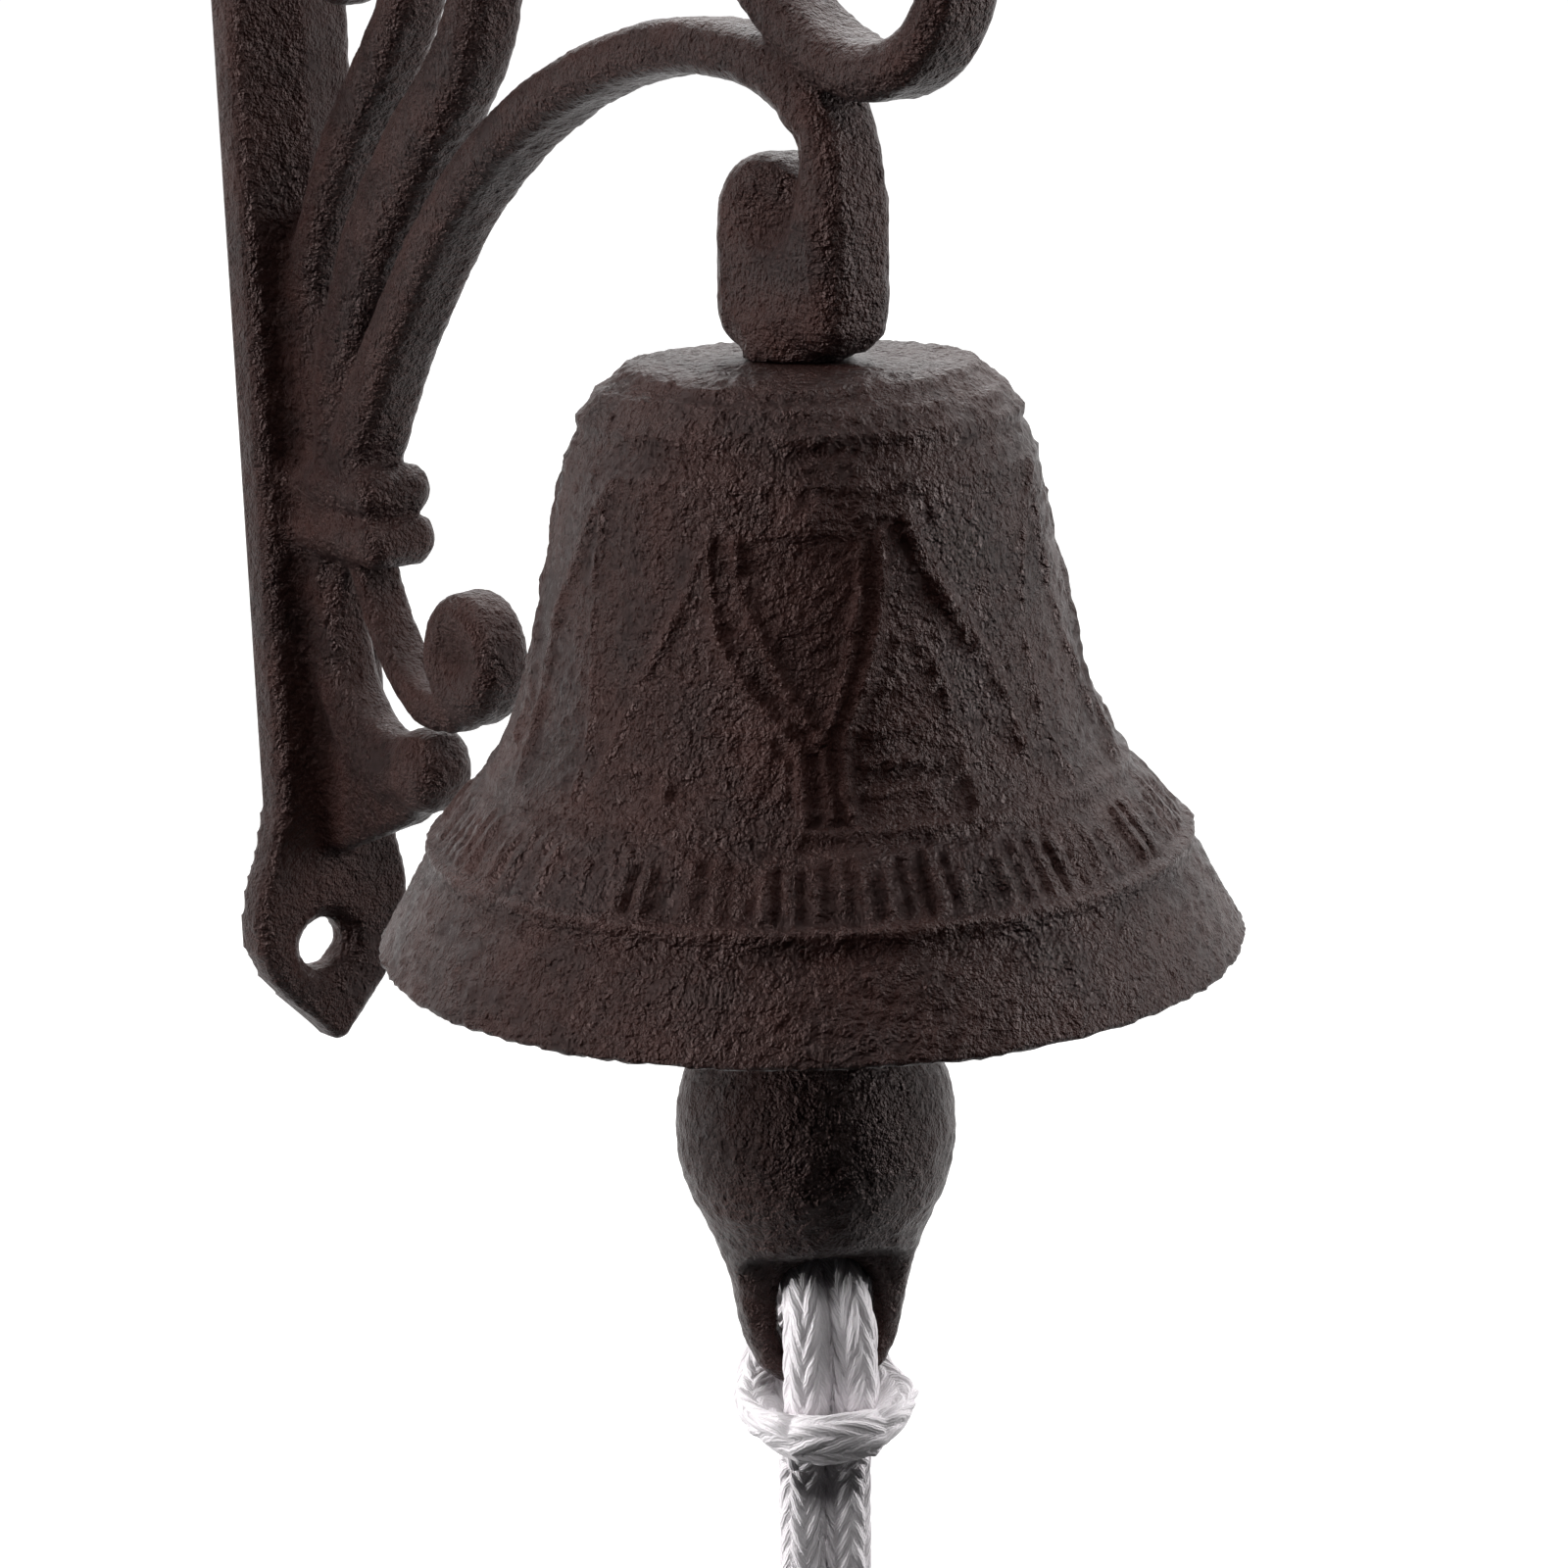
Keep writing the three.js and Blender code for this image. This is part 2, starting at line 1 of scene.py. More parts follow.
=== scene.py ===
# A wall mounted bell: a cast scroll bracket, a cast bell bolted under its hook, a clapper on a wire
# link, and a knitted cotton cord hitched through the clapper's tail.
import math

import bpy
import numpy as np
from mathutils import Matrix


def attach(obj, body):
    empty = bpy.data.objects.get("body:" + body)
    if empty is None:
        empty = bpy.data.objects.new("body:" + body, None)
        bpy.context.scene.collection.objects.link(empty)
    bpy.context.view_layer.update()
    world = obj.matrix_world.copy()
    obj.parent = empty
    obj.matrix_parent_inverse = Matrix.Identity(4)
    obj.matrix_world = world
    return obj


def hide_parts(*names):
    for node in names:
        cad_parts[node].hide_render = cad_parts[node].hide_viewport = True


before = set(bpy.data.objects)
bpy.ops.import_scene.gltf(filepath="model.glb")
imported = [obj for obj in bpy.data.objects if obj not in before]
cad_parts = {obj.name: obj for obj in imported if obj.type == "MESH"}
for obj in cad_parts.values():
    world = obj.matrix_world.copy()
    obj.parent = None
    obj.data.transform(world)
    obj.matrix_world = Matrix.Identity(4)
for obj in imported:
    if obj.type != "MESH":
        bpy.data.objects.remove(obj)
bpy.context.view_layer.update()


# --------------------------------------
# Camera. It stands before the bell, to the left of its middle, and looks slightly down on it. The
# wall is the plane y = 0, the object stands out towards -Y, and +Z is up.
# --------------------------------------

# How far the bell's upright axis stands out from the wall, in millimetres.
REACH = 97.0

camera_lens = bpy.data.cameras.new("camera")
camera_lens.lens = 76.5
camera_lens.sensor_width = 36.0
camera = bpy.data.objects.new("camera", camera_lens)
bpy.context.collection.objects.link(camera)
bpy.context.scene.camera = camera

camera_bearing = math.radians(-40.0)
camera_distance = 0.33452
camera_height = 0.03841
camera.location = (
    camera_distance * math.sin(camera_bearing),
    -REACH / 1000 - camera_distance * math.cos(camera_bearing),
    camera_height,
)
camera_turn = Matrix.Rotation(math.radians(-39.57), 4, "Z")
camera_tilt = Matrix.Rotation(math.radians(90.0 - 14.34), 4, "X")
camera_roll = Matrix.Rotation(math.radians(-1.4), 4, "Z")
camera.rotation_euler = (camera_turn @ camera_tilt @ camera_roll).to_euler()


# --------------------------------------
# Legs of the cord. A soft white cotton cord, knitted as a round tube of slanting yarns about
# 4.6 mm thick. Its two ends hang side by side from the hitch and are joined by the knot.
# --------------------------------------

# The shapes are worked out in millimetres above the plane of the bell's rim, and are written to
# the meshes in metres. This is the height of that plane, from the middle of the wall bar.
RIM_HEIGHT = -63.0
CORD_RADIUS = 2.3
YARN_PITCH = 3.1
YARN_ROWS_AROUND = 4
LEG_TOP = -61.5
LEG_LENGTH = 70.0
LEG_SIDE = 2.45
HANG_TURN = math.radians(-32.0)


def on_bell_axis(points):
    """Points of the hanging pieces, in millimetres from the middle of the rim plane, are turned
    about the upright axis by the eye bolt's last turn and moved out to the bell; metres come back."""
    x, y, z = points[..., 0], points[..., 1], points[..., 2]
    turned = [
        x * math.cos(HANG_TURN) - y * math.sin(HANG_TURN),
        x * math.sin(HANG_TURN) + y * math.cos(HANG_TURN) - REACH,
        z + RIM_HEIGHT,
    ]
    return np.stack(turned, -1) / 1000.0


def smooth_line(points, step):
    """A smooth line through the points, cut into equal steps. Between two points it is the cubic
    whose slope at each point is that of the chord between the points on either side of it."""
    points = np.asarray(points, float)
    place = np.concatenate([[0.0], np.cumsum(np.linalg.norm(np.diff(points, axis=0), axis=1))])
    slope = np.gradient(points, place, axis=0)
    dense = np.linspace(0.0, place[-1], 60 * len(points))
    left = np.clip(np.searchsorted(place, dense, side="right") - 1, 0, len(points) - 2)
    span = (place[left + 1] - place[left])[:, None]
    u = (dense - place[left])[:, None] / span
    curve = (
        (2 * u**3 - 3 * u**2 + 1) * points[left]
        + (u**3 - 2 * u**2 + u) * span * slope[left]
        + (3 * u**2 - 2 * u**3) * points[left + 1]
        + (u**3 - u**2) * span * slope[left + 1]
    )
    length = np.concatenate([[0.0], np.cumsum(np.linalg.norm(np.diff(curve, axis=0), axis=1))])
    even = np.linspace(0.0, length[-1], max(2, int(round(length[-1] / step)) + 1))
    return np.stack([np.interp(even, length, curve[:, k]) for k in range(curve.shape[1])], -1)


def step_between(value, low, high):
    """Nought below `low`, one above `high`, and a smooth cubic rise between them."""
    t = np.clip((value - low) / (high - low), 0.0, 1.0)
    return t * t * (3.0 - 2.0 * t)


def grid_quads(rows, columns, closed_rows=False):
    """The quads of a grid of points whose rows are closed rings, with the row and column of each
    corner. With `closed_rows` the last ring also joins the first; corners there keep counting up."""
    row, column = np.meshgrid(np.arange(rows if closed_rows else rows - 1), np.arange(columns), indexing="ij")
    corner_row = np.stack([row, row, row + 1, row + 1], -1).reshape(-1, 4)
    corner_column = np.stack([column, column + 1, column + 1, column], -1).reshape(-1, 4)
    quads = (corner_row % rows) * columns + corner_column % columns
    return quads, corner_row, corner_column


def end_fans(rows, columns):
    """The triangles that close a tube of rings at both ends: around the centre point of the first
    ring, and around that of the last; the two centres come after all the rings' points."""
    here = np.arange(columns)
    after = (here + 1) % columns
    count = rows * columns
    start = np.stack([after, here, np.full(columns, count)], -1)
    last = count - columns
    end = np.stack([last + here, last + after, np.full(columns, count + 1)], -1)
    return np.concatenate([start, end])


def put_in_mesh(name, points, faces, material, corner_uv=None, smooth=True):
    """Makes a mesh object at the origin from points in metres, with its material and UV map."""
    mesh = bpy.data.meshes.new(name)
    mesh.from_pydata(points.tolist(), [], faces)
    mesh.materials.append(material)
    mesh.polygons.foreach_set("use_smooth", np.full(len(mesh.polygons), smooth))
    if corner_uv is not None:
        layer = mesh.uv_layers.new(name="UVMap")
        layer.data.foreach_set("uv", np.asarray(corner_uv, np.float32).ravel())
    mesh.update()
    piece = bpy.data.objects.new(name, mesh)
    bpy.context.collection.objects.link(piece)
    return piece


def feed(tree, node, values):
    """Sets a node's inputs, each by its name or, as i0, i1 and so on, by its number: a socket is
    linked to it, and any other value is put in it."""
    for key, value in values.items():
        socket = node.inputs[int(key[1:])] if key[0] == "i" and key[1:].isdigit() else node.inputs[key]
        if isinstance(value, bpy.types.NodeSocket):
            tree.links.new(value, socket)
        else:
            socket.default_value = value


def add_node(tree, kind, settings=None, **values):
    """A shader node with its settings and inputs."""
    node = tree.nodes.new(kind)
    for key, value in (settings or {}).items():
        setattr(node, key, value)
    feed(tree, node, values)
    return node


def result_of(tree, operation, *terms):
    """One Math node of the operation on its terms, and the value that it gives."""
    numbered = {"i%d" % k: term for k, term in enumerate(terms)}
    return add_node(tree, "ShaderNodeMath", {"operation": operation}, **numbered).outputs[0]


def ramp_of(tree, value, low, low_colour, high, high_colour, easing="LINEAR"):
    """The colour of a ramp at the value: the first colour up to `low`, the second from `high` on."""
    ramp = add_node(tree, "ShaderNodeValToRGB", Fac=value)
    ramp.color_ramp.interpolation = easing
    for stop, place, colour in zip(ramp.color_ramp.elements, (low, high), (low_colour, high_colour)):
        stop.position = place
        stop.color = (*colour, 1.0)
    return ramp.outputs["Color"]


def new_material(name):
    """A material with a Principled shader in its output, and no other nodes yet."""
    material = bpy.data.materials.new(name)
    material.use_nodes = True
    tree = material.node_tree
    tree.nodes.clear()
    output = tree.nodes.new("ShaderNodeOutputMaterial")
    shader = tree.nodes.new("ShaderNodeBsdfPrincipled")
    tree.links.new(shader.outputs["BSDF"], output.inputs["Surface"])
    return material, tree, shader


def cotton_finish(name, twist):
    """White cotton. The UV map counts columns of yarn around the cord and yarn pitches along it;
    each yarn shows four thin plies, which wind a little, under a soft irregular fuzz."""
    material, tree, shader = new_material(name)
    uv = add_node(tree, "ShaderNodeUVMap", {"uv_map": "UVMap"}).outputs["UV"]
    parts = add_node(tree, "ShaderNodeSeparateXYZ", Vector=uv)
    across = result_of(tree, "FRACT", parts.outputs["X"])
    side = result_of(tree, "ABSOLUTE", result_of(tree, "SUBTRACT", across, 0.5))
    lean = result_of(tree, "MULTIPLY", side, 2.7)
    row = result_of(tree, "ADD", parts.outputs["Y"], lean)
    place = add_node(tree, "ShaderNodeTexCoord").outputs["Object"]
    wander = add_node(tree, "ShaderNodeTexNoise", Vector=place, Scale=900.0, Detail=2.0)
    bent = result_of(tree, "MULTIPLY_ADD", wander.outputs["Fac"], 0.5, row)
    four_turns = 8 * math.pi
    ply_angle = result_of(tree, "MULTIPLY_ADD", side, twist, result_of(tree, "MULTIPLY", bent, four_turns))
    plies = result_of(tree, "SINE", ply_angle)
    fuzz = add_node(tree, "ShaderNodeTexNoise", Vector=place, Scale=5200.0, Detail=4.0, Roughness=0.7)
    lint = add_node(tree, "ShaderNodeTexNoise", Vector=place, Scale=260.0, Detail=3.0)
    height = result_of(tree, "MULTIPLY", fuzz.outputs["Fac"], 0.9)
    height = result_of(tree, "MULTIPLY_ADD", plies, 0.5, height)
    bump = add_node(tree, "ShaderNodeBump", Strength=0.6, Distance=0.0001, Height=height)
    # The colour drifts with the lint, the cotton's own uneven tone, and is darker in the grooves between the
    # plies: painted shade. The ramp's darker, lilac-grey end carries both.
    shade = result_of(tree, "MULTIPLY_ADD", lint.outputs["Fac"], 0.4, 0.3)
    shade = result_of(tree, "MULTIPLY_ADD", plies, 0.14, shade)
    tone = ramp_of(tree, shade, 0.12, (0.70, 0.655, 0.68), 0.62, (0.88, 0.84, 0.865))
    feed(tree, shader, {
        "Base Color": tone, "Normal": bump.outputs["Normal"], "Roughness": 0.93,
        "Specular IOR Level": 0.25, "Sheen Weight": 0.25, "Sheen Roughness": 0.6,
    })
    return material


def yarn_relief(around, along):
    """Height of the knitted surface, in millimetres. Around the cord the yarns lie in columns of
    two slanting rows that lean together; each yarn is a dome across its width, sinks at both ends
    under its neighbours, and is set half a yarn further along than the yarn it leans against."""
    column = around % 1.0
    side = np.abs(column - 0.5) * 2.0
    row = along + 1.35 * side + 0.5 * (column > 0.5)
    across = row % 1.0 - 0.5
    dome = np.sqrt(np.clip(1.0 - 3.6 * across**2, 0.0, 1.0))
    ends = np.sin(math.pi * (0.13 + 0.74 * side)) ** 0.55
    loose = 1.0 + 0.16 * np.sin(3.1 * np.floor(row) + 5.3 * np.floor(2.0 * around))
    return 0.66 * dome * ends * loose - 0.26


def knitted_cord(name, line, outward, material, first_row=0.0, wide=1.0, deep=1.0, columns=72):
    """A knitted tube. At each point of the line a ring is drawn with one axis towards `outward`
    and the other across it; its radius is the cord's radius, times `deep` along the first axis and
    `wide` along the second, plus the height of the yarns. Both ends are drawn in and closed."""
    ahead = np.gradient(line, axis=0)
    ahead /= np.linalg.norm(ahead, axis=1, keepdims=True)
    first = outward - np.sum(outward * ahead, axis=1, keepdims=True) * ahead
    first /= np.linalg.norm(first, axis=1, keepdims=True)
    second = np.cross(ahead, first)
    rings = len(line)
    step = np.linalg.norm(line[1] - line[0])
    along = first_row + np.arange(rings) * step / YARN_PITCH
    around = np.arange(columns) / columns
    relief = yarn_relief(around[None, :] * YARN_ROWS_AROUND, along[:, None])
    distance_to_end = np.minimum(np.arange(rings), np.arange(rings)[::-1]) * step
    pinch = np.sqrt(1.0 - np.clip(1.0 - distance_to_end / 0.7, 0.0, 1.0) ** 2 * 0.6)
    wide = np.broadcast_to(wide, rings)[:, None]
    deep = np.broadcast_to(deep, rings)[:, None]
    angle = around[None, :] * 2 * math.pi
    radius = (CORD_RADIUS + relief) * pinch[:, None]
    points = (
        line[:, None, :]
        + (radius * deep * np.cos(angle))[..., None] * first[:, None, :]
        + (radius * wide * np.sin(angle))[..., None] * second[:, None, :]
    ).reshape(-1, 3)
    points = np.concatenate([points, line[:1] - 0.1 * ahead[:1], line[-1:] + 0.1 * ahead[-1:]])
    quads, corner_row, corner_column = grid_quads(rings, columns)
    corner_uv = np.stack([
        corner_column / columns * YARN_ROWS_AROUND,
        first_row + corner_row * step / YARN_PITCH,
    ], -1).reshape(-1, 2)
    faces = quads.tolist() + end_fans(rings, columns).tolist()
    cap_uv = np.full((6 * columns, 2), 0.25)
    return put_in_mesh(name, on_bell_axis(points), faces, material, np.concatenate([corner_uv, cap_uv]))


cotton = cotton_finish("knitted_cotton", 5.0)


def leg_route(side):
    """The line of one leg, from behind the hitch's band at the front straight down to the knot."""
    route = [
        (-1.75, 2.8), (-0.85, 0.6), (-0.5, -3), (-0.1, -9), (0.1, -30), (0.05, -50),
        (0, -LEG_LENGTH - 0.2),
    ]
    return smooth_line([(side * LEG_SIDE, y, LEG_TOP + z) for y, z in route], 0.14)


# It is one cord, so its yarns run down one leg and up the other.
forward = np.array([[0.0, -1.0, 0.0]])
left_route = leg_route(-1)
right_route = leg_route(1)
leg_left = knitted_cord("leg_of_cord_left", left_route[::-1], forward, cotton, first_row=-0.3)
leg_right = knitted_cord("leg_of_cord_right", right_route, forward, cotton, first_row=0.2)
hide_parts("cord_leg_left")
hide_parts("cord_leg_right")
for leg in (leg_left, leg_right):
    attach(leg, "clapper")


# --------------------------------------
# Hitch. The same cord, doubled and tied to the clapper's tail as a cow hitch: both strands rise in
# front of the tail, pass back through its slot, come down behind and meet in the loop across the
# front. It is held by its own grip.
# --------------------------------------

hitch_left = [
    (-2.45, -1.7, -59.0), (-2.45, -2.3, -57.8), (-2.4, -4.2, -55.0),
    (-2.4, -5.8, -52.0), (-2.45, -6.8, -48.6), (-2.45, -7.0, -44.6), (-2.25, -6.3, -41.2),
    (-2.1, -3.6, -38.8), (-2.05, 0.0, -38.1), (-2.1, 4.0, -38.8), (-2.4, 6.9, -41.6),
    (-3.2, 7.4, -45.4), (-4.6, 7.0, -49.4), (-6.2, 4.8, -52.6), (-6.6, 0.6, -53.8),
    (-6.3, -4.2, -53.8), (-4.4, -8.4, -53.5), (0.0, -10.0, -53.3),
]
hitch_right = [(-x, y, z) for x, y, z in hitch_left[:-1]][::-1]
hitch_line = smooth_line(hitch_left + hitch_right, 0.14)
hitch_outward = hitch_line - np.array([[0.0, 0.0, -46.0]])

# The cord is flattened where it lies across the front, and a little where the slot presses on it.
to_front = step_between(6.0 - hitch_line[:, 1], 0.0, 9.0)
to_front = to_front * step_between(np.abs(hitch_line[:, 0]), 2.9, 4.6)
to_front = np.maximum(to_front, np.exp(-((hitch_line[:, 1] + 9.9) / 1.2) ** 2))
in_slot = np.exp(-(hitch_line[:, 1] / 4.5) ** 2) * np.exp(-((hitch_line[:, 2] + 38.4) / 2.0) ** 2)
hitch = knitted_cord("cow_hitch", hitch_line, hitch_outward, cotton,
                     wide=1.0 + 0.62 * to_front - 0.07 * in_slot,
                     deep=1.0 - 0.27 * to_front + 0.04 * in_slot)
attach(hitch, "clapper")
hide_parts("cord_hitch")


# --------------------------------------
# Knot and tassel. The two ends are tied together in a snug knot of two and a half slanting turns
# of the same cord, and the cut ends below it are teased out into a short brush of thin yarns.
# --------------------------------------

knot_top = LEG_TOP - LEG_LENGTH - 0.3
turns = np.linspace(0.0, 1.0, 40)
wind = 2 * math.pi * (2.45 * turns + 0.1)
draw_in = np.clip(np.minimum(turns, 1 - turns) / 0.11, 0.0, 1.0)
coil_radius = 1.6 + 2.75 * draw_in * (2 - draw_in)
slant = 1.5 * np.sin(wind)
knot_line = smooth_line(np.stack([
    coil_radius * 1.02 * np.cos(wind),
    coil_radius * 0.98 * np.sin(wind),
    knot_top - 3.2 - 7.0 * turns + slant * 0.55,
], -1), 0.2)
knot_outward = np.column_stack([knot_line[:, :2], np.full(len(knot_line), -0.01)])
knot = knitted_cord("overhand_knot", knot_line, knot_outward, cotton, wide=1.06, deep=0.92, columns=64)
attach(knot, "clapper")
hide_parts("cord_knot")


def brush_of_yarns(name, count, top, length, spread, material):
    """A brush of thin round yarns. Yarn k starts on a sunflower spiral, where the radius grows as
    the square root of k and the turn by the golden angle, and hangs down on a gentle S that opens
    outwards; each is a tube of six sides that narrows to a closed tip."""
    rings = 9
    sides = 6
    golden_angle = 2.39996
    brush_radius = 3.6
    k = np.arange(count)[:, None, None]
    t = np.linspace(0.0, 1.0, rings)[None, :, None]
    side = np.arange(sides)[None, None, :] * (2 * math.pi / sides)
    turn = k * golden_angle
    out = brush_radius * np.sqrt((k + 0.5) / count)
    open_up = out * (1.0 + spread * t**1.5)
    drop = length * (0.86 + 0.14 * np.sin(5.1 * k)) * t
    sway = 0.35 * np.sin(3.0 * t * math.pi + 1.7 * k) * t
    thick = 0.34 * (1.0 - 0.75 * t**5)
    x = open_up * np.cos(turn) + sway + thick * np.cos(side)
    y = open_up * np.sin(turn) + 0.7 * sway + thick * np.sin(side)
    z = top - drop + 0 * side
    points = np.stack(np.broadcast_arrays(x, y, z), -1).reshape(-1, 3)
    quads, corner_row, corner_column = grid_quads(rings, sides)
    quads = quads[:, ::-1]
    uv = np.stack([corner_column[:, ::-1] / sides, corner_row[:, ::-1]], -1).reshape(-1, 2)
    ring = np.arange(sides)
    ends = np.stack([ring[::-1] + (rings - 1) * sides, ring])
    faces = []
    for first in range(0, count * rings * sides, rings * sides):
        faces += (quads + first).tolist() + (ends + first).tolist()
    yarn_uv = np.concatenate([uv, np.zeros((2 * sides, 2))])
    return put_in_mesh(name, on_bell_axis(points), faces, material, np.tile(yarn_uv, (count, 1)))


tassel = brush_of_yarns("tassel", 90, knot_top - 11.6, 10.0, 0.34, cotton)
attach(tassel, "clapper")


# --------------------------------------
# Wall bracket. One sand casting in grey iron: a flat-backed bar with a screw lobe at each end, and
# the bouquet of scrolls that grows out of it, lacquered dark brown. It is screwed to the wall.
# --------------------------------------

def nearest_on_side(u, v, du, dv):
    """For points (u, v) counted from the start of a straight side (du, dv): the part of the side
    that lies before the nearest point on it, and the distance to that point."""
    part = np.clip((u * du + v * dv) / (du * du + dv * dv), 0.0, 1.0)
    return part, np.hypot(u - part * du, v - part * dv)


def distance_to_band(u, v, points, widths):
    """Distance in the plane to a band with round ends: to each short piece of the band's smooth
    middle line, the distance less the half width there. The least of them holds."""
    knots = np.column_stack([np.asarray(points, float), np.asarray(widths, float) / 2.0])
    line = smooth_line(knots, 1.5)
    best = np.full(u.shape, 1e3)
    for a, b in zip(line[:-1], line[1:]):
        du, dv, dw = b - a
        part, away = nearest_on_side(u - a[0], v - a[1], du, dv)
        best = np.minimum(best, away - a[2] - part * dw)
    return best


def distance_to_outline(u, v, outline):
    """Signed distance in the plane to a closed outline: the least distance to its sides, which is
    negative where a ray from the point crosses the outline an odd number of times."""
    best = np.full(u.shape, 1e3)
    inside = np.zeros(u.shape, bool)
    for a, b in zip(outline, outline[1:] + outline[:1]):
        du, dv = b[0] - a[0], b[1] - a[1]
        best = np.minimum(best, nearest_on_side(u - a[0], v - a[1], du, dv)[1])
        if dv != 0.0:
            inside ^= ((a[1] > v) != (b[1] > v)) & (u < a[0] + (v - a[1]) * du / dv)
    return np.where(inside, -best, best)


def rounded_edge(outline, face, rounding):
    """Distance to a plate with rounded edges. The distances to the plate's outline and to its
    faces are shifted in by the rounding, joined as a circle outside the corner, and shifted out."""
    a = outline + rounding
    b = face + rounding
    outside_both = np.hypot(np.maximum(a, 0.0), np.maximum(b, 0.0))
    return outside_both + np.minimum(np.maximum(a, b), 0.0) - rounding


def melt(a, b, fillet):
    """The nearer of two distances, lowered by a parabola where they are within the fillet."""
    near = np.maximum(fillet - np.abs(a - b), 0.0) / fillet
    return np.minimum(a, b) - near * near * fillet / 4.0


def carve(a, b, fillet):
    """Distance to the first shape with the second cut out of it, with a softened edge."""
    return -melt(-a, b, fillet)


def skin_of(field, corner, step):
    """The surface where a distance field is nought. Every cell of the field that the surface
    passes through gets one point, the middle of the surface's crossings of the cell's edges, and
    every field edge that changes sign gets the quad of the four cells round it, facing outwards."""
    inside = field < 0.0
    wide, deep, high = np.array(field.shape) - 1
    count = sum(
        inside[i:wide + i, j:deep + j, k:high + k].astype(np.int8)
        for i in (0, 1) for j in (0, 1) for k in (0, 1)
    )
    active = (count > 0) & (count < 8)
    number = np.full(active.shape, -1)
    cells = np.argwhere(active)
    number[active] = np.arange(len(cells))
    total = np.zeros((len(cells), 3))
    crossings = np.zeros(len(cells))
    for axis in range(3):
        for first in (0, 1):
            for second in (0, 1):
                start = np.insert([first, second], axis, 0)
                stop = np.insert([first, second], axis, 1)
                near = field[tuple((cells + start).T)]
                far = field[tuple((cells + stop).T)]
                crosses = (near < 0.0) != (far < 0.0)
                part = np.where(crosses, near / np.where(crosses, near - far, 1.0), 0.0)
                place = start + part[:, None] * (stop - start)
                total += np.where(crosses[:, None], place, 0.0)
                crossings += crosses
    points = np.asarray(corner) + step * (cells + total / crossings[:, None])
    faces = []
    for axis in range(3):
        order = (axis, (axis + 1) % 3, (axis + 2) % 3)
        turned = np.moveaxis(inside, order, (0, 1, 2))
        numbers = np.moveaxis(number, order, (0, 1, 2))
        change = turned[:-1, 1:-1, 1:-1] != turned[1:, 1:-1, 1:-1]
        i, j, k = np.nonzero(change)
        quad = np.stack([numbers[i, j, k], numbers[i, j + 1, k],
                         numbers[i, j + 1, k + 1], numbers[i, j, k + 1]], -1)
        outward = turned[i, j + 1, k + 1]
        faces.append(np.where(outward[:, None], quad, quad[:, ::-1]))
    return points, np.concatenate(faces)


def corner_normals(points, faces):
    """The direction outwards at each point: the mean of its faces' cross products of diagonals."""
    corner = points[faces]
    across = np.cross(corner[:, 2] - corner[:, 0], corner[:, 3] - corner[:, 1])
    total = np.stack([
        sum(np.bincount(faces[:, c], across[:, axis], len(points)) for c in range(4))
        for axis in range(3)
    ], -1)
    return total / np.maximum(np.linalg.norm(total, axis=1, keepdims=True), 1e-12)


def sand_waves(points, wavelength, seed, count=28):
    """Unevenness of a sand mould, about -1 to 1: the sum of plane waves with random directions,
    phases and wavelengths near the given one."""
    chance = np.random.default_rng(seed)
    direction = chance.normal(size=(count, 3))
    direction /= np.linalg.norm(direction, axis=1, keepdims=True)
    pace = 2 * math.pi / (wavelength * chance.uniform(0.75, 1.5, size=(count, 1)))
    phase = chance.uniform(0, 6.28, size=count)
    return np.sin(points @ (direction * pace).T + phase).sum(1) / math.sqrt(count)


def cast_skin(points, normals, seed, free=1.0):
    """Moves the points along their normals by the moulding sand's slow and quick unevenness, times
    `free`, which is nought where the casting is flat or machined."""
    slow = 0.07 * sand_waves(points, 11.0, seed) + 0.04 * sand_waves(points, 4.2, seed + 1)
    quick = 0.06 * sand_waves(points, 1.7, seed + 2, 40)
    return points + ((slow + quick) * free)[:, None] * normals


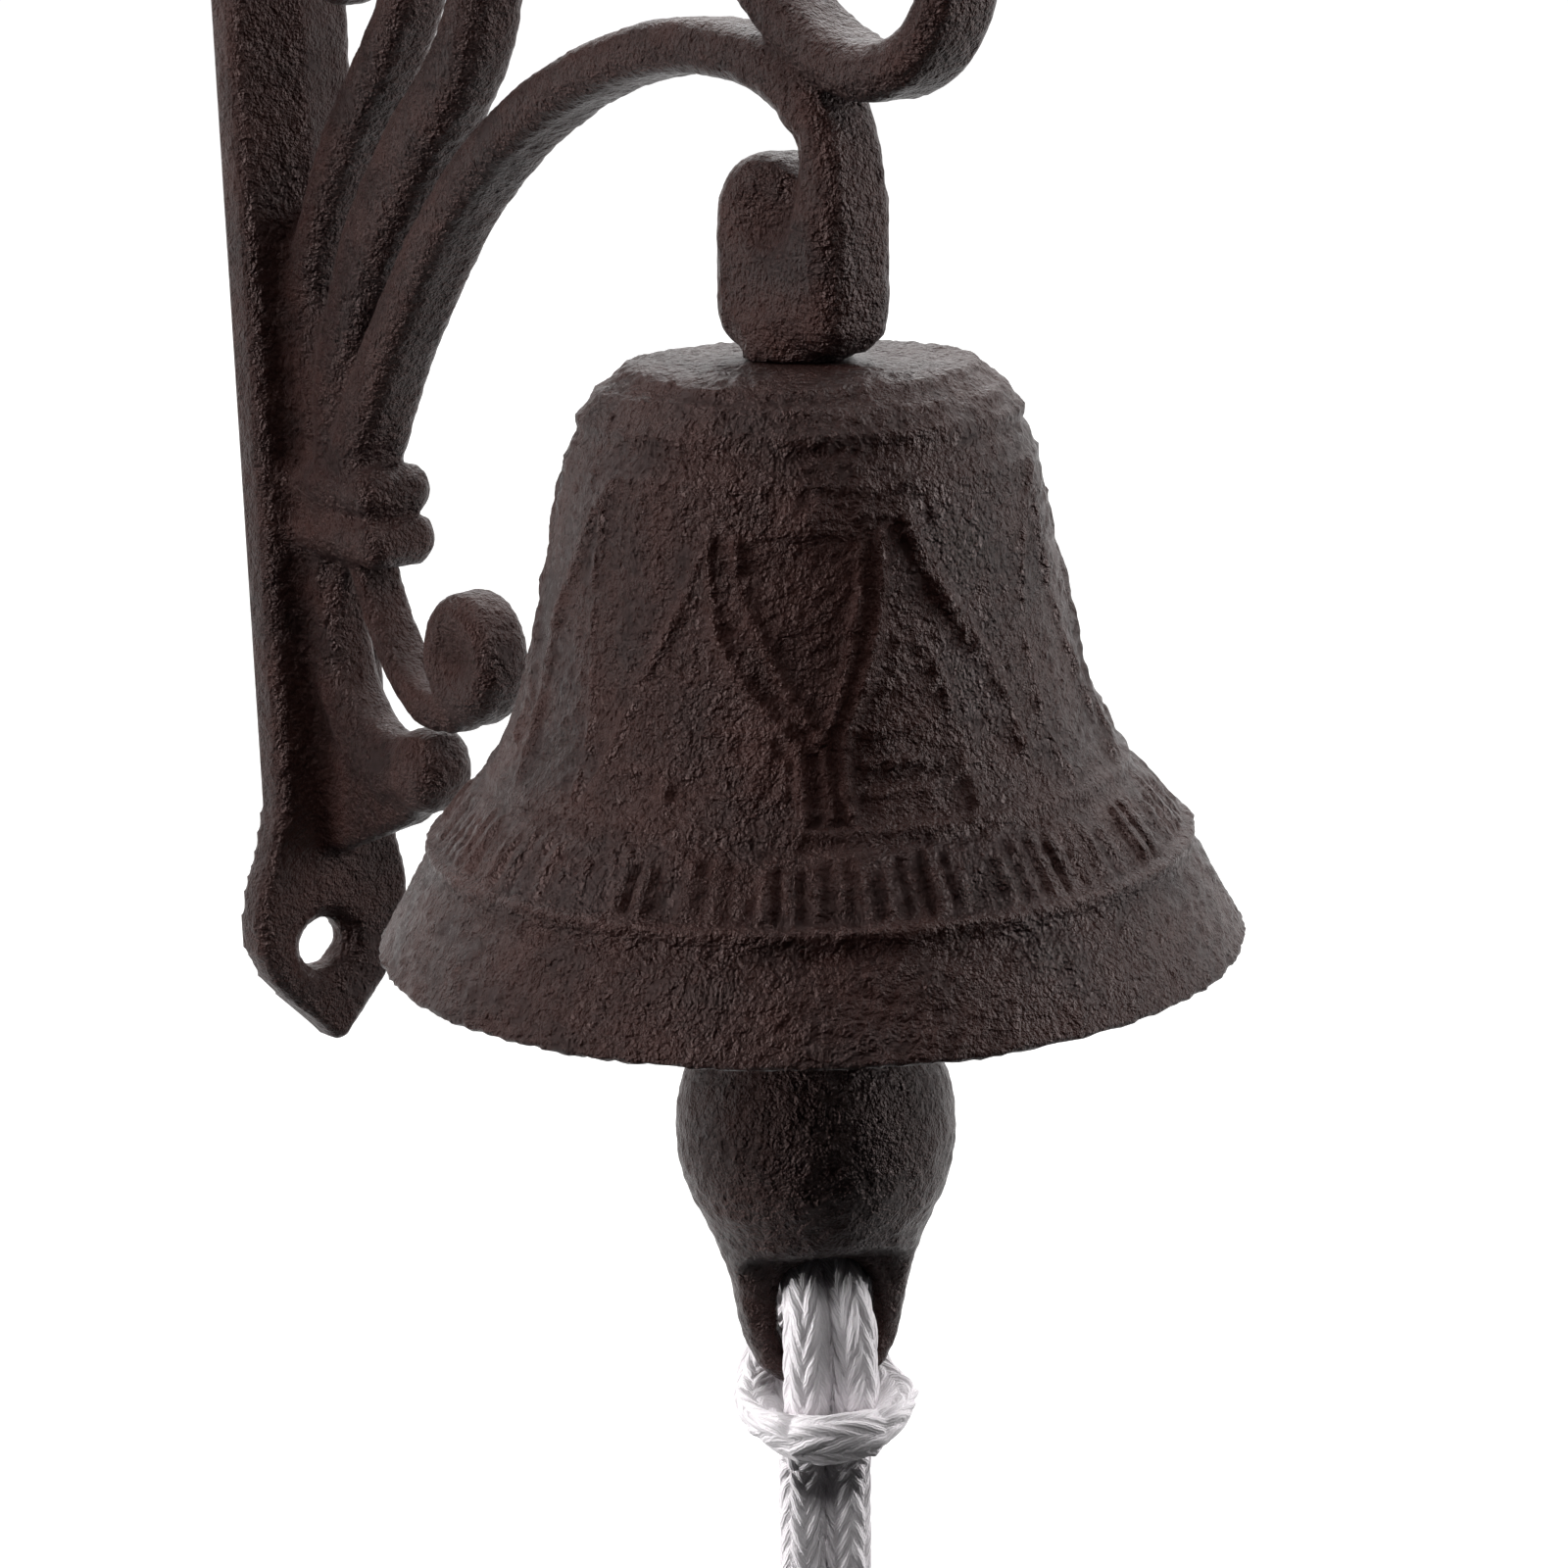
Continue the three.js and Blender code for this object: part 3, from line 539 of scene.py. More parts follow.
def grain_group():
    """The sand-cast grain as one node group. Height is a pebbled surface of three sizes of bump
    with small pits; Tone is a slow drift of the lacquer's colour; Thin marks the bumps' tops."""
    tree = bpy.data.node_groups.new("cast_grain", "ShaderNodeTree")
    for name, way in (("Size", "INPUT"), ("Height", "OUTPUT"), ("Tone", "OUTPUT"), ("Thin", "OUTPUT")):
        tree.interface.new_socket(name=name, in_out=way, socket_type="NodeSocketFloat")
    given = tree.nodes.new("NodeGroupInput")
    result = tree.nodes.new("NodeGroupOutput")
    place = tree.nodes.new("ShaderNodeTexCoord").outputs["Object"]
    scaled = add_node(tree, "ShaderNodeVectorMath", {"operation": "SCALE"},
                      i0=place, Scale=given.outputs["Size"])
    where = scaled.outputs["Vector"]
    warp = add_node(tree, "ShaderNodeTexNoise", Vector=where, Scale=1.1, Detail=1.0)
    shifted = add_node(tree, "ShaderNodeVectorMath", {"operation": "ADD"},
                       i0=where, i1=warp.outputs["Color"])
    pebbles = add_node(tree, "ShaderNodeTexVoronoi", {"feature": "SMOOTH_F1"},
                       Vector=shifted.outputs["Vector"], Scale=1.5, Smoothness=0.55)
    grains = add_node(tree, "ShaderNodeTexNoise", Vector=where, Scale=3.0, Detail=2.5, Roughness=0.6)
    lumps = add_node(tree, "ShaderNodeTexNoise", Vector=where, Scale=0.85, Detail=3.0, Roughness=0.6)
    pits = add_node(tree, "ShaderNodeTexVoronoi", {"feature": "F1"}, Vector=where, Scale=0.42)
    pit = add_node(tree, "ShaderNodeMapRange", {"interpolation_type": "SMOOTHSTEP"},
                   **{"Value": pits.outputs["Distance"], "From Min": 0.04, "From Max": 0.2})
    top = result_of(tree, "SUBTRACT", 1.0, pebbles.outputs["Distance"])
    height = result_of(tree, "MULTIPLY_ADD", top, 0.5, grains.outputs["Fac"])
    height = result_of(tree, "MULTIPLY_ADD", lumps.outputs["Fac"], 1.6, height)
    height = result_of(tree, "MULTIPLY_ADD", pit.outputs["Result"], 0.3, height)
    drift = add_node(tree, "ShaderNodeTexNoise", Vector=where, Scale=0.11, Detail=4.0, Roughness=0.6)
    thin = result_of(tree, "MULTIPLY", grains.outputs["Fac"], top)
    feed(tree, result, {"Height": height, "Tone": drift.outputs["Fac"], "Thin": thin})
    return tree


cast_grain = grain_group()


def mix_of(tree, factor, colour, plain_colour):
    """The colour, mixed with a plain colour by the factor."""
    return add_node(tree, "ShaderNodeMix", {"data_type": "RGBA"},
                    Factor=factor, A=colour, B=(*plain_colour, 1.0)).outputs["Result"]


def iron_finish(name, size, coarse, gloss, dark, warm, ridge_highlight=False):
    """Lacquered cast iron: dark brown lacquer that is thin and warmer on the bumps and pools in
    the hollows, over the cast grain of the given size (bumps to the millimetre) and depth. `gloss`
    is the middle roughness; the last flag paints a warm highlight on the raised lines, by a mesh attribute."""
    material, tree, shader = new_material(name)
    grain = add_node(tree, "ShaderNodeGroup", {"node_tree": cast_grain}, Size=size * 1000.0)
    tone = ramp_of(tree, grain.outputs["Tone"], 0.36, dark, 0.66, warm)
    thin = add_node(tree, "ShaderNodeMapRange", **{
        "Value": grain.outputs["Thin"], "From Min": 0.30, "From Max": 0.62, "To Max": 0.5})
    over_bump = (warm[0] * 1.7, warm[1] * 1.55, warm[2] * 1.5)
    colour = mix_of(tree, thin.outputs["Result"], tone, over_bump)
    if ridge_highlight:
        # Where the mesh's attribute marks raised lines and mouldings, the colour is mixed towards a lighter,
        # warmer brown: a painted highlight.
        wear_and_highlight = add_node(tree, "ShaderNodeAttribute", {"attribute_name": "ridge_highlight"})
        colour = mix_of(tree, wear_and_highlight.outputs["Fac"], colour, [1.4 * part for part in warm])
    rough = add_node(tree, "ShaderNodeMapRange", **{
        "Value": grain.outputs["Tone"], "From Min": 0.3, "From Max": 0.7,
        "To Min": gloss - 0.07, "To Max": gloss + 0.05})
    bump = add_node(tree, "ShaderNodeBump", Strength=1.0, Distance=coarse / 1000.0,
                    Height=grain.outputs["Height"])
    feed(tree, shader, {
        "Base Color": colour, "Roughness": rough.outputs["Result"], "Normal": bump.outputs["Normal"],
        "Specular IOR Level": 0.31, "Specular Tint": (1.0, 0.66, 0.62, 1.0),
    })
    return material


bracket_iron = iron_finish("lacquered_iron_bracket", 1.0, 0.62, 0.32,
                           (0.0074, 0.0028, 0.0024), (0.0260, 0.0092, 0.0070))

# The scrolls lie in the plane of the bell's axis; their field is sampled at this step.
FINE = 0.6
across_x = np.arange(-13.2, 13.3, FINE)
depth_y = np.arange(-125.4, 1.3, FINE)
height_z = np.arange(-35.7, 161.7, FINE)
plane_y, plane_z = np.meshgrid(depth_y, height_z, indexing="ij")


def scroll(points, widths):
    """Distance in the side plane to a tapering band through the (y, z) points."""
    return distance_to_band(plane_y, plane_z, points, widths)


def knob(y, z, radius_y, radius_z):
    """Distance to an oval, taken as its radius in the direction of the point less the distance."""
    far = np.hypot(plane_y - y, plane_z - z) + 1e-6
    along = np.hypot((plane_y - y) / radius_y, (plane_z - z) / radius_z) + 1e-6
    return far * (1.0 - 1.0 / along)


arch = scroll([
    (-12, 34), (-15.8, 42), (-19.9, 48.6), (-24, 54.7), (-28.7, 60.8), (-33.6, 66.8), (-39.6, 72.8),
    (-47, 78.6), (-55, 83.3), (-63.5, 86.9), (-71.8, 89.2), (-79.8, 90.4), (-87.4, 90.3),
    (-94.4, 88.9), (-100.2, 86), (-103.4, 81.4), (-103.6, 75), (-102.9, 68),
], [6.0, 6.6, 6.6, 6.4, 6.2, 6, 5.8, 5.8, 5.8, 5.6, 5.6, 5.6, 5.6, 5.6, 5.8, 6.4, 7.2, 7.6])
brace = scroll([
    (-3, 139), (-16, 140.6), (-30, 139.8), (-44, 136), (-57, 129.6), (-69, 120.8), (-79.6, 111),
    (-89, 101.6), (-96.4, 95), (-102, 90.8), (-108.6, 88.4), (-115, 89.2), (-119.6, 93),
    (-121.2, 99), (-119, 105), (-113.6, 107.6), (-108.8, 105.4),
], [7, 5.8, 5.2, 5, 5, 5, 5.2, 5.4, 5.6, 5.6, 5.6, 5.4, 5, 4.8, 4.4, 4.2, 4])
back_stem = scroll([
    (-7.2, 42), (-7.4, 48), (-7.2, 54), (-7.6, 60.4), (-9.8, 66.3), (-12.8, 72.3), (-16.6, 78.1),
    (-21.4, 83.8), (-26.6, 89.5), (-30.6, 95), (-32.6, 102), (-31, 109.5), (-25.4, 114),
    (-18.4, 113.2), (-14, 108), (-14.2, 101.6),
], [6, 6, 6, 5.8, 5.8, 6, 6.2, 6.2, 6, 5.6, 5.2, 4.6, 4.2, 4, 3.8, 3.8])
out_stem = scroll([
    (-11, 38), (-11.6, 44), (-12.9, 50), (-15.8, 56.3), (-18.8, 62.3), (-22.4, 68.2), (-27.2, 74),
    (-32.4, 79.7), (-38.4, 85.3), (-43, 90.9), (-45.8, 97.4), (-47, 105), (-51.2, 111.4),
    (-58, 112), (-62.4, 106.8),
], [4.8, 5.8, 7.4, 8.2, 8.6, 9.0, 9.2, 9.0, 8.4, 7.6, 6.6, 5.6, 4.8, 4.4, 4])
foot_stem = scroll([
    (-7.8, 33), (-7.6, 26), (-7.8, 19), (-9.4, 12.4), (-13.6, 6.6), (-19.2, 3.6), (-25.6, 4.4),
], [6.4, 6.0, 5.8, 5.8, 6.4, 7, 6.4])
curl_stem = scroll([
    (-14.6, 32), (-17.4, 26), (-20.0, 21), (-23.2, 16.6), (-28, 13.2), (-34, 13.4),
], [4.0, 3.4, 3.3, 3.6, 4.6, 4.8])
web = distance_to_outline(plane_y, plane_z, [
    (-4, 62), (-10, 60), (-22, 51), (-16.5, 44), (-15.5, 41), (-15.5, 29.5), (-12.4, 27),
    (-10.6, 20), (-11.4, 14), (-15.4, 9.6), (-20, 8.4), (-24, 9.2), (-29.2, 9.4), (-31, 6.2), (-29, 2.2),
    (-22.5, -2.6), (-13, -6.6), (-4, -10),
])
collar_rings = np.minimum.reduce([
    scroll([(-4, 38.3), (-12, 38.0), (-19.4, 37.9)], [4.6, 5.2, 5.4]),
    scroll([(-4, 32.4), (-12, 32.1), (-19.8, 32.1)], [4.8, 5.4, 5.8]),
    knob(-20.2, 37.9, 3.1, 3.2), knob(-20.8, 32.1, 3.2, 3.3),
])
collar_core = distance_to_outline(plane_y, plane_z, [
    (-4, 41.5), (-17.6, 41.2), (-18.6, 35), (-17.8, 29.4), (-4, 29),
])
hook_block = distance_to_outline(plane_y, plane_z, [
    (-107.4, 77), (-107.4, 66), (-107.0, 62.8), (-105.0, 60.9), (-90.2, 60.9), (-88.4, 62.6),
    (-88.1, 66), (-88.4, 74), (-93, 78), (-99.4, 76.6), (-100.2, 75.8), (-101.2, 77.0),
])
hook = np.minimum(hook_block, knob(-94.8, 74.2, 6.4, 6.1))
strong = np.minimum(arch, knob(-109.8, 102.4, 4.2, 4.2))
buds = np.minimum.reduce([
    knob(-37.2, 20.2, 6.9, 8.0), knob(-17.6, 99.4, 5.0, 5.0), knob(-58.6, 101.6, 5.6, 5.6),
    knob(-26.6, 4.9, 4.6, 5.2),
])

beside = across_x[:, None, None]


def slab(flat, thickness, rounding):
    """The flat shape as a plate of this thickness about the bell's plane, with rounded edges."""
    return rounded_edge(flat[None], np.abs(beside) - thickness / 2.0, rounding)


# Each shape with its thickness, the rounding of its edges, and the fillet that joins it on.
scrolls = slab(strong, 8.4, 2.4)
for flat, thickness, rounding, fillet in (
    (brace, 8.6, 2.4, 0.9),
    (hook, 9.8, 3.4, 1.2),
    (np.minimum(back_stem, foot_stem), 7.6, 2.7, 0.6),
    (out_stem, 8.4, 3.4, 0.6),
    (curl_stem, 6.2, 1.6, 0.6),
    (web, 4.6, 1.4, 1.4),
    (buds, 8.2, 3.2, 0.8),
    (collar_core, 8.6, 2.6, 1.2),
    (collar_rings, 10.6, 3.0, 1.0),
):
    scrolls = melt(scrolls, slab(flat, thickness, rounding), fillet)

# The hook's curled tip and the lower bud have a hollow at each side, and a groove parts the
# hook's tip from its leg.
hollow_place = np.hypot(plane_y + 98.0, (plane_z - 74.4) * 0.9)[None]
bud_place = np.hypot(plane_y + 38.3, plane_z - 21.0)[None]
groove = scroll([(-100.8, 81.0), (-100.5, 77.5), (-99.9, 75.0), (-98.8, 73.0)], [2.0, 1.6, 1.0, 0.4])
for side in (-1.0, 1.0):
    hollow = np.hypot(hollow_place, beside - side * 7.2) - 4.0
    scrolls = carve(scrolls, hollow, 1.6)
    bud_hollow = np.hypot(bud_place * 0.82, beside - side * 6.4) - 3.6
    scrolls = carve(scrolls, bud_hollow, 1.6)
groove_cut = np.hypot(np.maximum(groove, 0.0)[None], np.maximum(3.4 - np.abs(beside), 0.0)) - 0.3
scrolls = carve(scrolls, groove_cut, 1.4)

# The boss under the hook that the bell's crown is drawn up against.
boss = np.maximum(np.hypot(beside, plane_y[None] + REACH) - 5.6, np.abs(plane_z[None] - 62.2) - 2.0)
scrolls = melt(scrolls, boss, 1.8)

# The bar, from its outline seen from the front and its thickness, which rises to a ridge. The
# lobe at each end, and the screw hole in it, sit a little to the left of the bar's middle.
BAR_HALF_WIDTH = 8.3
LOBE_START = 66
lobe_side = [
    (BAR_HALF_WIDTH, LOBE_START), (9.4, 72), (10.7, 76), (11.2, 80), (11, 84), (9.2, 88), (6.4, 91.4),
    (3.4, 94.6), (0.8, 97.5),
]
both_sides = lobe_side + [(-x, z) for x, z in lobe_side[::-1]]
bar_top = [(x - np.clip((z - LOBE_START) / 14.0, 0, 1), z) for x, z in both_sides]
bar_outline = bar_top + [(x, -z) for x, z in bar_top][::-1]
front_x, front_z = np.meshgrid(across_x, height_z + RIM_HEIGHT, indexing="ij")
bar_flat = distance_to_outline(front_x, front_z, bar_outline)
ridged = 1.0 - step_between(np.abs(front_z), 60.0, 74.0)
bar_face = 5.0 + 2.6 * ridged * np.clip(1.0 - np.abs(front_x) / BAR_HALF_WIDTH, 0.0, 1.0)
near_wall = depth_y > -14.0
wall_y = depth_y[near_wall][None, :, None]
bar_front = (-wall_y - bar_face[:, None, :]) * 0.96
bar = rounded_edge(bar_flat[:, None, :], bar_front, 1.5)
for end in (-1.0, 1.0):
    hole = np.hypot(front_x + 2.4, front_z - end * 84.5)[:, None, :]
    countersink = hole - 3.2 - np.clip(-wall_y - 3.0, 0.0, 3.0)
    bar = carve(bar, countersink, 0.9)

scrolls[:, near_wall, :] = melt(scrolls[:, near_wall, :], bar, 2.0)
scrolls = np.maximum(scrolls, depth_y[None, :, None])
points, faces = skin_of(scrolls, (across_x[0], depth_y[0], height_z[0]), FINE)
normals = corner_normals(points, faces)
keep_flat = np.clip((-0.4 - points[:, 1]) / 1.5, 0.0, 1.0)
points = cast_skin(points, normals, 11, keep_flat)
points[:, 2] += RIM_HEIGHT
bracket = put_in_mesh("scroll_bracket", points / 1000.0, faces.tolist(), bracket_iron)
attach(bracket, "bracket")
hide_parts("wall_bracket")


# --------------------------------------
# Bell. A second sand casting, bolted under the hook: a flat crown, a stepped shoulder, a waist
# with raised drapery lines, a band of short ribs, and a plain flared lip. Same lacquered iron.
# --------------------------------------

bell_iron = iron_finish("lacquered_iron_bell", 1.0, 0.50, 0.29, (0.0056, 0.0021, 0.0018),
                        (0.0225, 0.0078, 0.0059), ridge_highlight=True)

# Half of an upright cut through the bell, as (radius, height), and the points round each ring.
BELL_ANGLES = 400
outer_section = [
    (3.35, 60.0), (9, 60.02), (14.6, 60.0), (16.8, 59.8), (18.3, 59.0), (19.8, 57.9), (21.2, 56.6),
    (22.1, 55.2), (22.8, 53.4), (23.4, 51.6), (24.0, 49.6), (24.5, 47), (25.3, 42.4), (26.4, 37.4),
    (27.7, 32), (29.1, 26.6), (30.5, 23), (31.8, 20.6), (33.2, 18.6), (34.8, 16.7), (37.4, 13.5),
    (38.8, 11.6), (40.3, 9.0), (42.1, 5.7), (43.6, 3.0), (44.7, 0.9),
]
lip_section = [(44.7, 0.9), (45.0, 0.35), (44.6, 0.0), (43.2, -0.05), (41.9, 0.0), (41.3, 0.5)]
inner_section = [
    (41.3, 0.5), (39.8, 3.2), (36.2, 9.4), (32.8, 14.2), (29, 19), (26.2, 24.4), (24.5, 31),
    (22.8, 38), (21.3, 45), (19.8, 50.6), (18.2, 53.4), (16.0, 54.8), (13.6, 55.0), (8, 55.0), (3.35, 55.0),
]
outer_line = smooth_line(outer_section, 0.43)
lip_line = smooth_line(lip_section, 0.42)[1:]
inner_line = smooth_line(inner_section, 2.2)[1:]
hole_line = np.array([(3.35, 56.6), (3.35, 58.4)])
section = np.concatenate([outer_line, lip_line, inner_line, hole_line])
outside = np.zeros(len(section))
outside[:len(outer_line) + len(lip_line) // 2] = 1.0

tangent = np.gradient(section, axis=0)
tangent /= np.linalg.norm(tangent, axis=1, keepdims=True)
section_out = np.stack([-tangent[:, 1], tangent[:, 0]], -1)
angle = np.arange(BELL_ANGLES) * 360.0 / BELL_ANGLES
turn = np.radians(angle)[None, :]
radius = section[:, 0][:, None]
level = section[:, 1][:, None]
outside = outside[:, None]


def ring(at, width, height, level=level):
    """A moulding all round the bell: a bell curve of the level's distance from `at`."""
    return height * np.exp(-((level - at) / width) ** 2)


on_side = outside * step_between(radius, 15.5, 17.0)
moulding = ring(50.7, 0.5, 0.25) + ring(19.3, 0.5, 0.34) + ring(11.2, 0.7, 0.75) - ring(9.6, 0.8, 0.3)
moulding = (moulding - ring(18.2, 0.5, 0.2)) * on_side + np.zeros((1, BELL_ANGLES))

# The shoulder's three steps are chipped: their height comes and goes round the bell.
round_bell = np.stack(np.broadcast_arrays(12.0 * np.cos(turn), 12.0 * np.sin(turn), level * 1.6), -1)
uneven = sand_waves(round_bell.reshape(-1, 3), 5.0, 31).reshape(len(section), BELL_ANGLES)
for at, width, height in ((59.2, 0.42, 0.4), (57.4, 0.42, 0.34), (55.0, 0.5, 0.36)):
    shifted = level + 0.22 * np.sin(2 * turn + at) + 0.14 * uneven
    height_here = height * np.clip(0.72 + 0.42 * uneven, 0.05, 1.25)
    moulding += on_side * ring(at, width, height_here, shifted)
moulding -= on_side * ring(53.6, 0.8, 0.3)

# The band of short upright ribs, each a little different from the next.
RIBS_ROUND = 96
rib_turn = angle[None, :] * RIBS_ROUND / 360.0
rib_number = np.floor(rib_turn)
rib_size = 0.74 + 0.3 * np.sin(12.9 * rib_number) * np.sin(4.1 * rib_number + 1.0)
rib = np.clip(1.25 * np.sin(math.pi * (rib_turn % 1.0)) ** 0.8, 0.0, 1.0)
rib_top = 17.2 + 0.7 * np.sin(7.7 * rib_number)
rib_band = step_between(level, 11.9, 12.7) * (1.0 - step_between(level, rib_top - 0.9, rib_top))
moulding += on_side * rib_band * (0.95 * rib_size * rib - 0.55)

# The drapery. The motif repeats three times round the bell. Each line is its height, its width and
# its points, as (degrees from the motif's middle, level); a line of negative height is a groove.
MOTIF_MIDDLE = -36.0
drapery = [
    (0.62, 0.62, [(-25.4, 45.4), (-23.6, 39.6), (-21, 36.2), (-16.8, 33), (-11.6, 30.2), (-7.4, 28),
                  (-5.6, 26.2), (-5.2, 24), (-5.0, 20.2)]),
    (0.46, 0.55, [(-19, 45.4), (-17, 41), (-13.6, 37.4), (-10, 34), (-6.6, 31), (-3, 28.4),
                  (-1.2, 26), (-0.6, 23), (-0.4, 20.2)]),
    (0.66, 0.62, [(13.2, 46.0), (12.4, 41), (10.6, 37), (8.2, 33.6), (5.4, 30.4), (3.4, 27.8),
                  (2.6, 25), (3.2, 20.2)]),
    (0.48, 0.52, [(8.4, 45), (7.6, 40.6), (5.8, 37), (3.8, 33.4), (1.8, 30.4), (-0.4, 28.2)]),
    (-0.5, 0.9, [(17.4, 46), (18.8, 40.5), (17.6, 35), (14.2, 30.4)]),
    (0.55, 1.3, [(19.6, 47.6), (22.6, 44.0), (26.4, 40.4), (30.4, 37.4), (35.8, 33.6), (39.4, 29),
                 (40.6, 24)]),
    (-0.5, 0.9, [(21.4, 41.0), (26.0, 37.0), (30.2, 33.4), (33.0, 30.0)]),
    (0.26, 0.6, [(22.0, 34.4), (25.0, 30.6), (26.0, 26.4), (26.4, 20.6)]),
    (-1.15, 0.5, [(29.0, 29.2), (29.4, 25), (29.6, 21.0)]),
    (-1.15, 0.5, [(-25.6, 28.2), (-24.8, 24), (-24.0, 20.8)]),
    (0.5, 0.9, [(66, 50), (56.8, 44.6), (51.4, 38.6), (48.8, 32), (48.8, 26), (50.8, 20.6)]),
    (-0.5, 0.8, [(51.4, 45.4), (47.0, 39), (45.2, 33), (44.6, 28)]),
    (0.5, 0.9, [(-27.0, 45.0), (-30.0, 40.0), (-35.4, 35.4), (-40.4, 30.4), (-44.0, 25.4), (-46, 20.6)]),
    (-0.5, 0.8, [(-32.0, 35.6), (-36.4, 31.0), (-40.2, 26)]),
    (0.42, 0.5, [(-42.6, 23.6), (-36, 24.4), (-32.5, 24.0), (-30.6, 23.2), (-30.0, 21.2)]),
    (0.55, 0.8, [(-56, 47.6), (-57.2, 42), (-54.4, 34.6), (-51.2, 28.6), (-49.4, 20.6)]),
    (-0.5, 0.8, [(-52.0, 44.0), (-51.6, 38.0), (-48.4, 32.0)]),
    (-0.6, 0.6, [(-61.2, 30), (-60.4, 25.6), (-59.6, 20.8)]),
    (0.34, 0.5, [(34.6, 27.6), (38.0, 28.4), (44, 27.6)]),
]
# The small bosses on it, as (degrees from the motif's middle, level, radius, height).
bosses = [
    (-3.4, 47.5, 1.5, 0.9), (-6.2, 48.6, 1.2, 0.6), (-0.6, 48.6, 1.2, 0.6),
    (-1.6, 27.3, 1.0, 0.7), (-12, 26.6, 0.9, 0.5), (-13.5, 23.4, 0.9, 0.45),
]
degree = radius * math.pi / 180.0
relief = np.zeros((len(section), BELL_ANGLES))
for repeat in range(3):
    middle = MOTIF_MIDDLE + 120.0 * repeat
    local = (angle[None, :] - middle + 180.0) % 360.0 - 180.0
    for number, (height, width, line) in enumerate(drapery):
        knots = smooth_line(line, 1.6)
        nearest = np.full(relief.shape, 1e3)
        for a, b in zip(knots[:-1], knots[1:]):
            du = (b[0] - a[0]) * degree
            away = nearest_on_side((local - a[0]) * degree, level - a[1], du, b[1] - a[1])[1]
            nearest = np.minimum(nearest, away)
        wear_and_highlight = np.sin(level * 0.9 + 2.0 * number + repeat) * np.sin(0.37 * level + number)
        wear_and_highlight = 0.8 + 0.24 * wear_and_highlight
        line_height = 1.3 * height * wear_and_highlight * np.exp(-(nearest / (0.3 + 0.52 * width)) ** 2)
        relief = np.where(np.abs(line_height) > np.abs(relief), line_height, relief)
    for across, up, size, height in bosses:
        u = (local - across) * degree
        v = level - up
        sag = np.hypot(u * (1.0 + 0.35 * v / size * (np.abs(v) < size)), v)
        relief = np.maximum(relief, height * np.exp(-(sag / size) ** 2))
    # The cloth billows, sinks in a heart-shaped field, and shows three courses behind it.
    billow = np.cos(np.radians(local * 3.0)) * np.sin(math.pi * np.clip((level - 19) / 31, 0, 1))
    relief += 0.16 * billow
    heart = np.abs(local + 4.5) * (1.0 + 0.06 * np.clip(41.0 - level, 0, 12))
    field = step_between(16.0 - heart, 0.0, 9.0) * np.clip((level - 31.0) / 4.0, 0, 1)
    relief -= 0.16 * field * (1.0 - step_between(level, 45.6, 46.6))
    courses = ring(22.4, 0.5, 1.0) + ring(25.2, 0.5, 1.0) + ring(28.2, 0.5, 1.0)
    beside_folds = step_between(22.0 - np.abs(local + 2.0), 0.0, 2.0) * (np.abs(local + 1.0) > 6.5)
    relief += 0.3 * courses * beside_folds
relief *= outside * step_between(level, 19.6, 20.6) * (1.0 - step_between(level, 50.0, 51.0))

raised = moulding + relief
shape_radius = radius + raised * section_out[:, 0][:, None]
shape_level = level + raised * section_out[:, 1][:, None]
points = np.stack([shape_radius * np.sin(turn), -shape_radius * np.cos(turn), shape_level], -1).reshape(-1, 3)
quads = grid_quads(len(section), BELL_ANGLES, closed_rows=True)[0]
normals = corner_normals(points, quads)
if np.sum(normals[:BELL_ANGLES, 2]) < 0:
    quads = quads[:, ::-1]
    normals = -normals
free = np.repeat(step_between(radius, 6.0, 9.0), BELL_ANGLES)
moved = cast_skin(points, normals, 41, free)
fine = 0.075 * sand_waves(points, 1.3, 47, 48) * free * np.repeat(outside, BELL_ANGLES)
lip_rough = np.repeat(outside * (1.0 - step_between(level, 7.0, 11.0)), BELL_ANGLES)
coarse = 0.05 * sand_waves(points, 2.6, 53, 30) * lip_rough
moved += (fine + coarse)[:, None] * normals


def on_upright_axis(points):
    """Millimetres from the middle of the rim plane, moved out to the bell; metres come back."""
    return (points + np.array([0.0, -REACH, RIM_HEIGHT])) / 1000.0


bell = put_in_mesh("cast_bell", on_upright_axis(moved), quads.tolist(), bell_iron)
# The attribute holds how high the drapery lines and mouldings stand; the bell's finish lightens the colour
# there, a painted highlight.
ridge_highlight = bell.data.attributes.new("ridge_highlight", "FLOAT", "POINT")
high = np.clip(np.maximum(relief, moulding * 0.7) / 0.7, 0.0, 1.0) * 0.55
ridge_highlight.data.foreach_set("value", high.astype(np.float32).ravel())
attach(bell, "bracket")
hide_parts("bell")


# --------------------------------------
# Eye bolt, washer and nut. Zinc-plated M6 steel, gone dull. The bolt is screwed up into the hook,
# the washer and nut under the crown clamp the bell, and the eye below carries the clapper's link.
# --------------------------------------

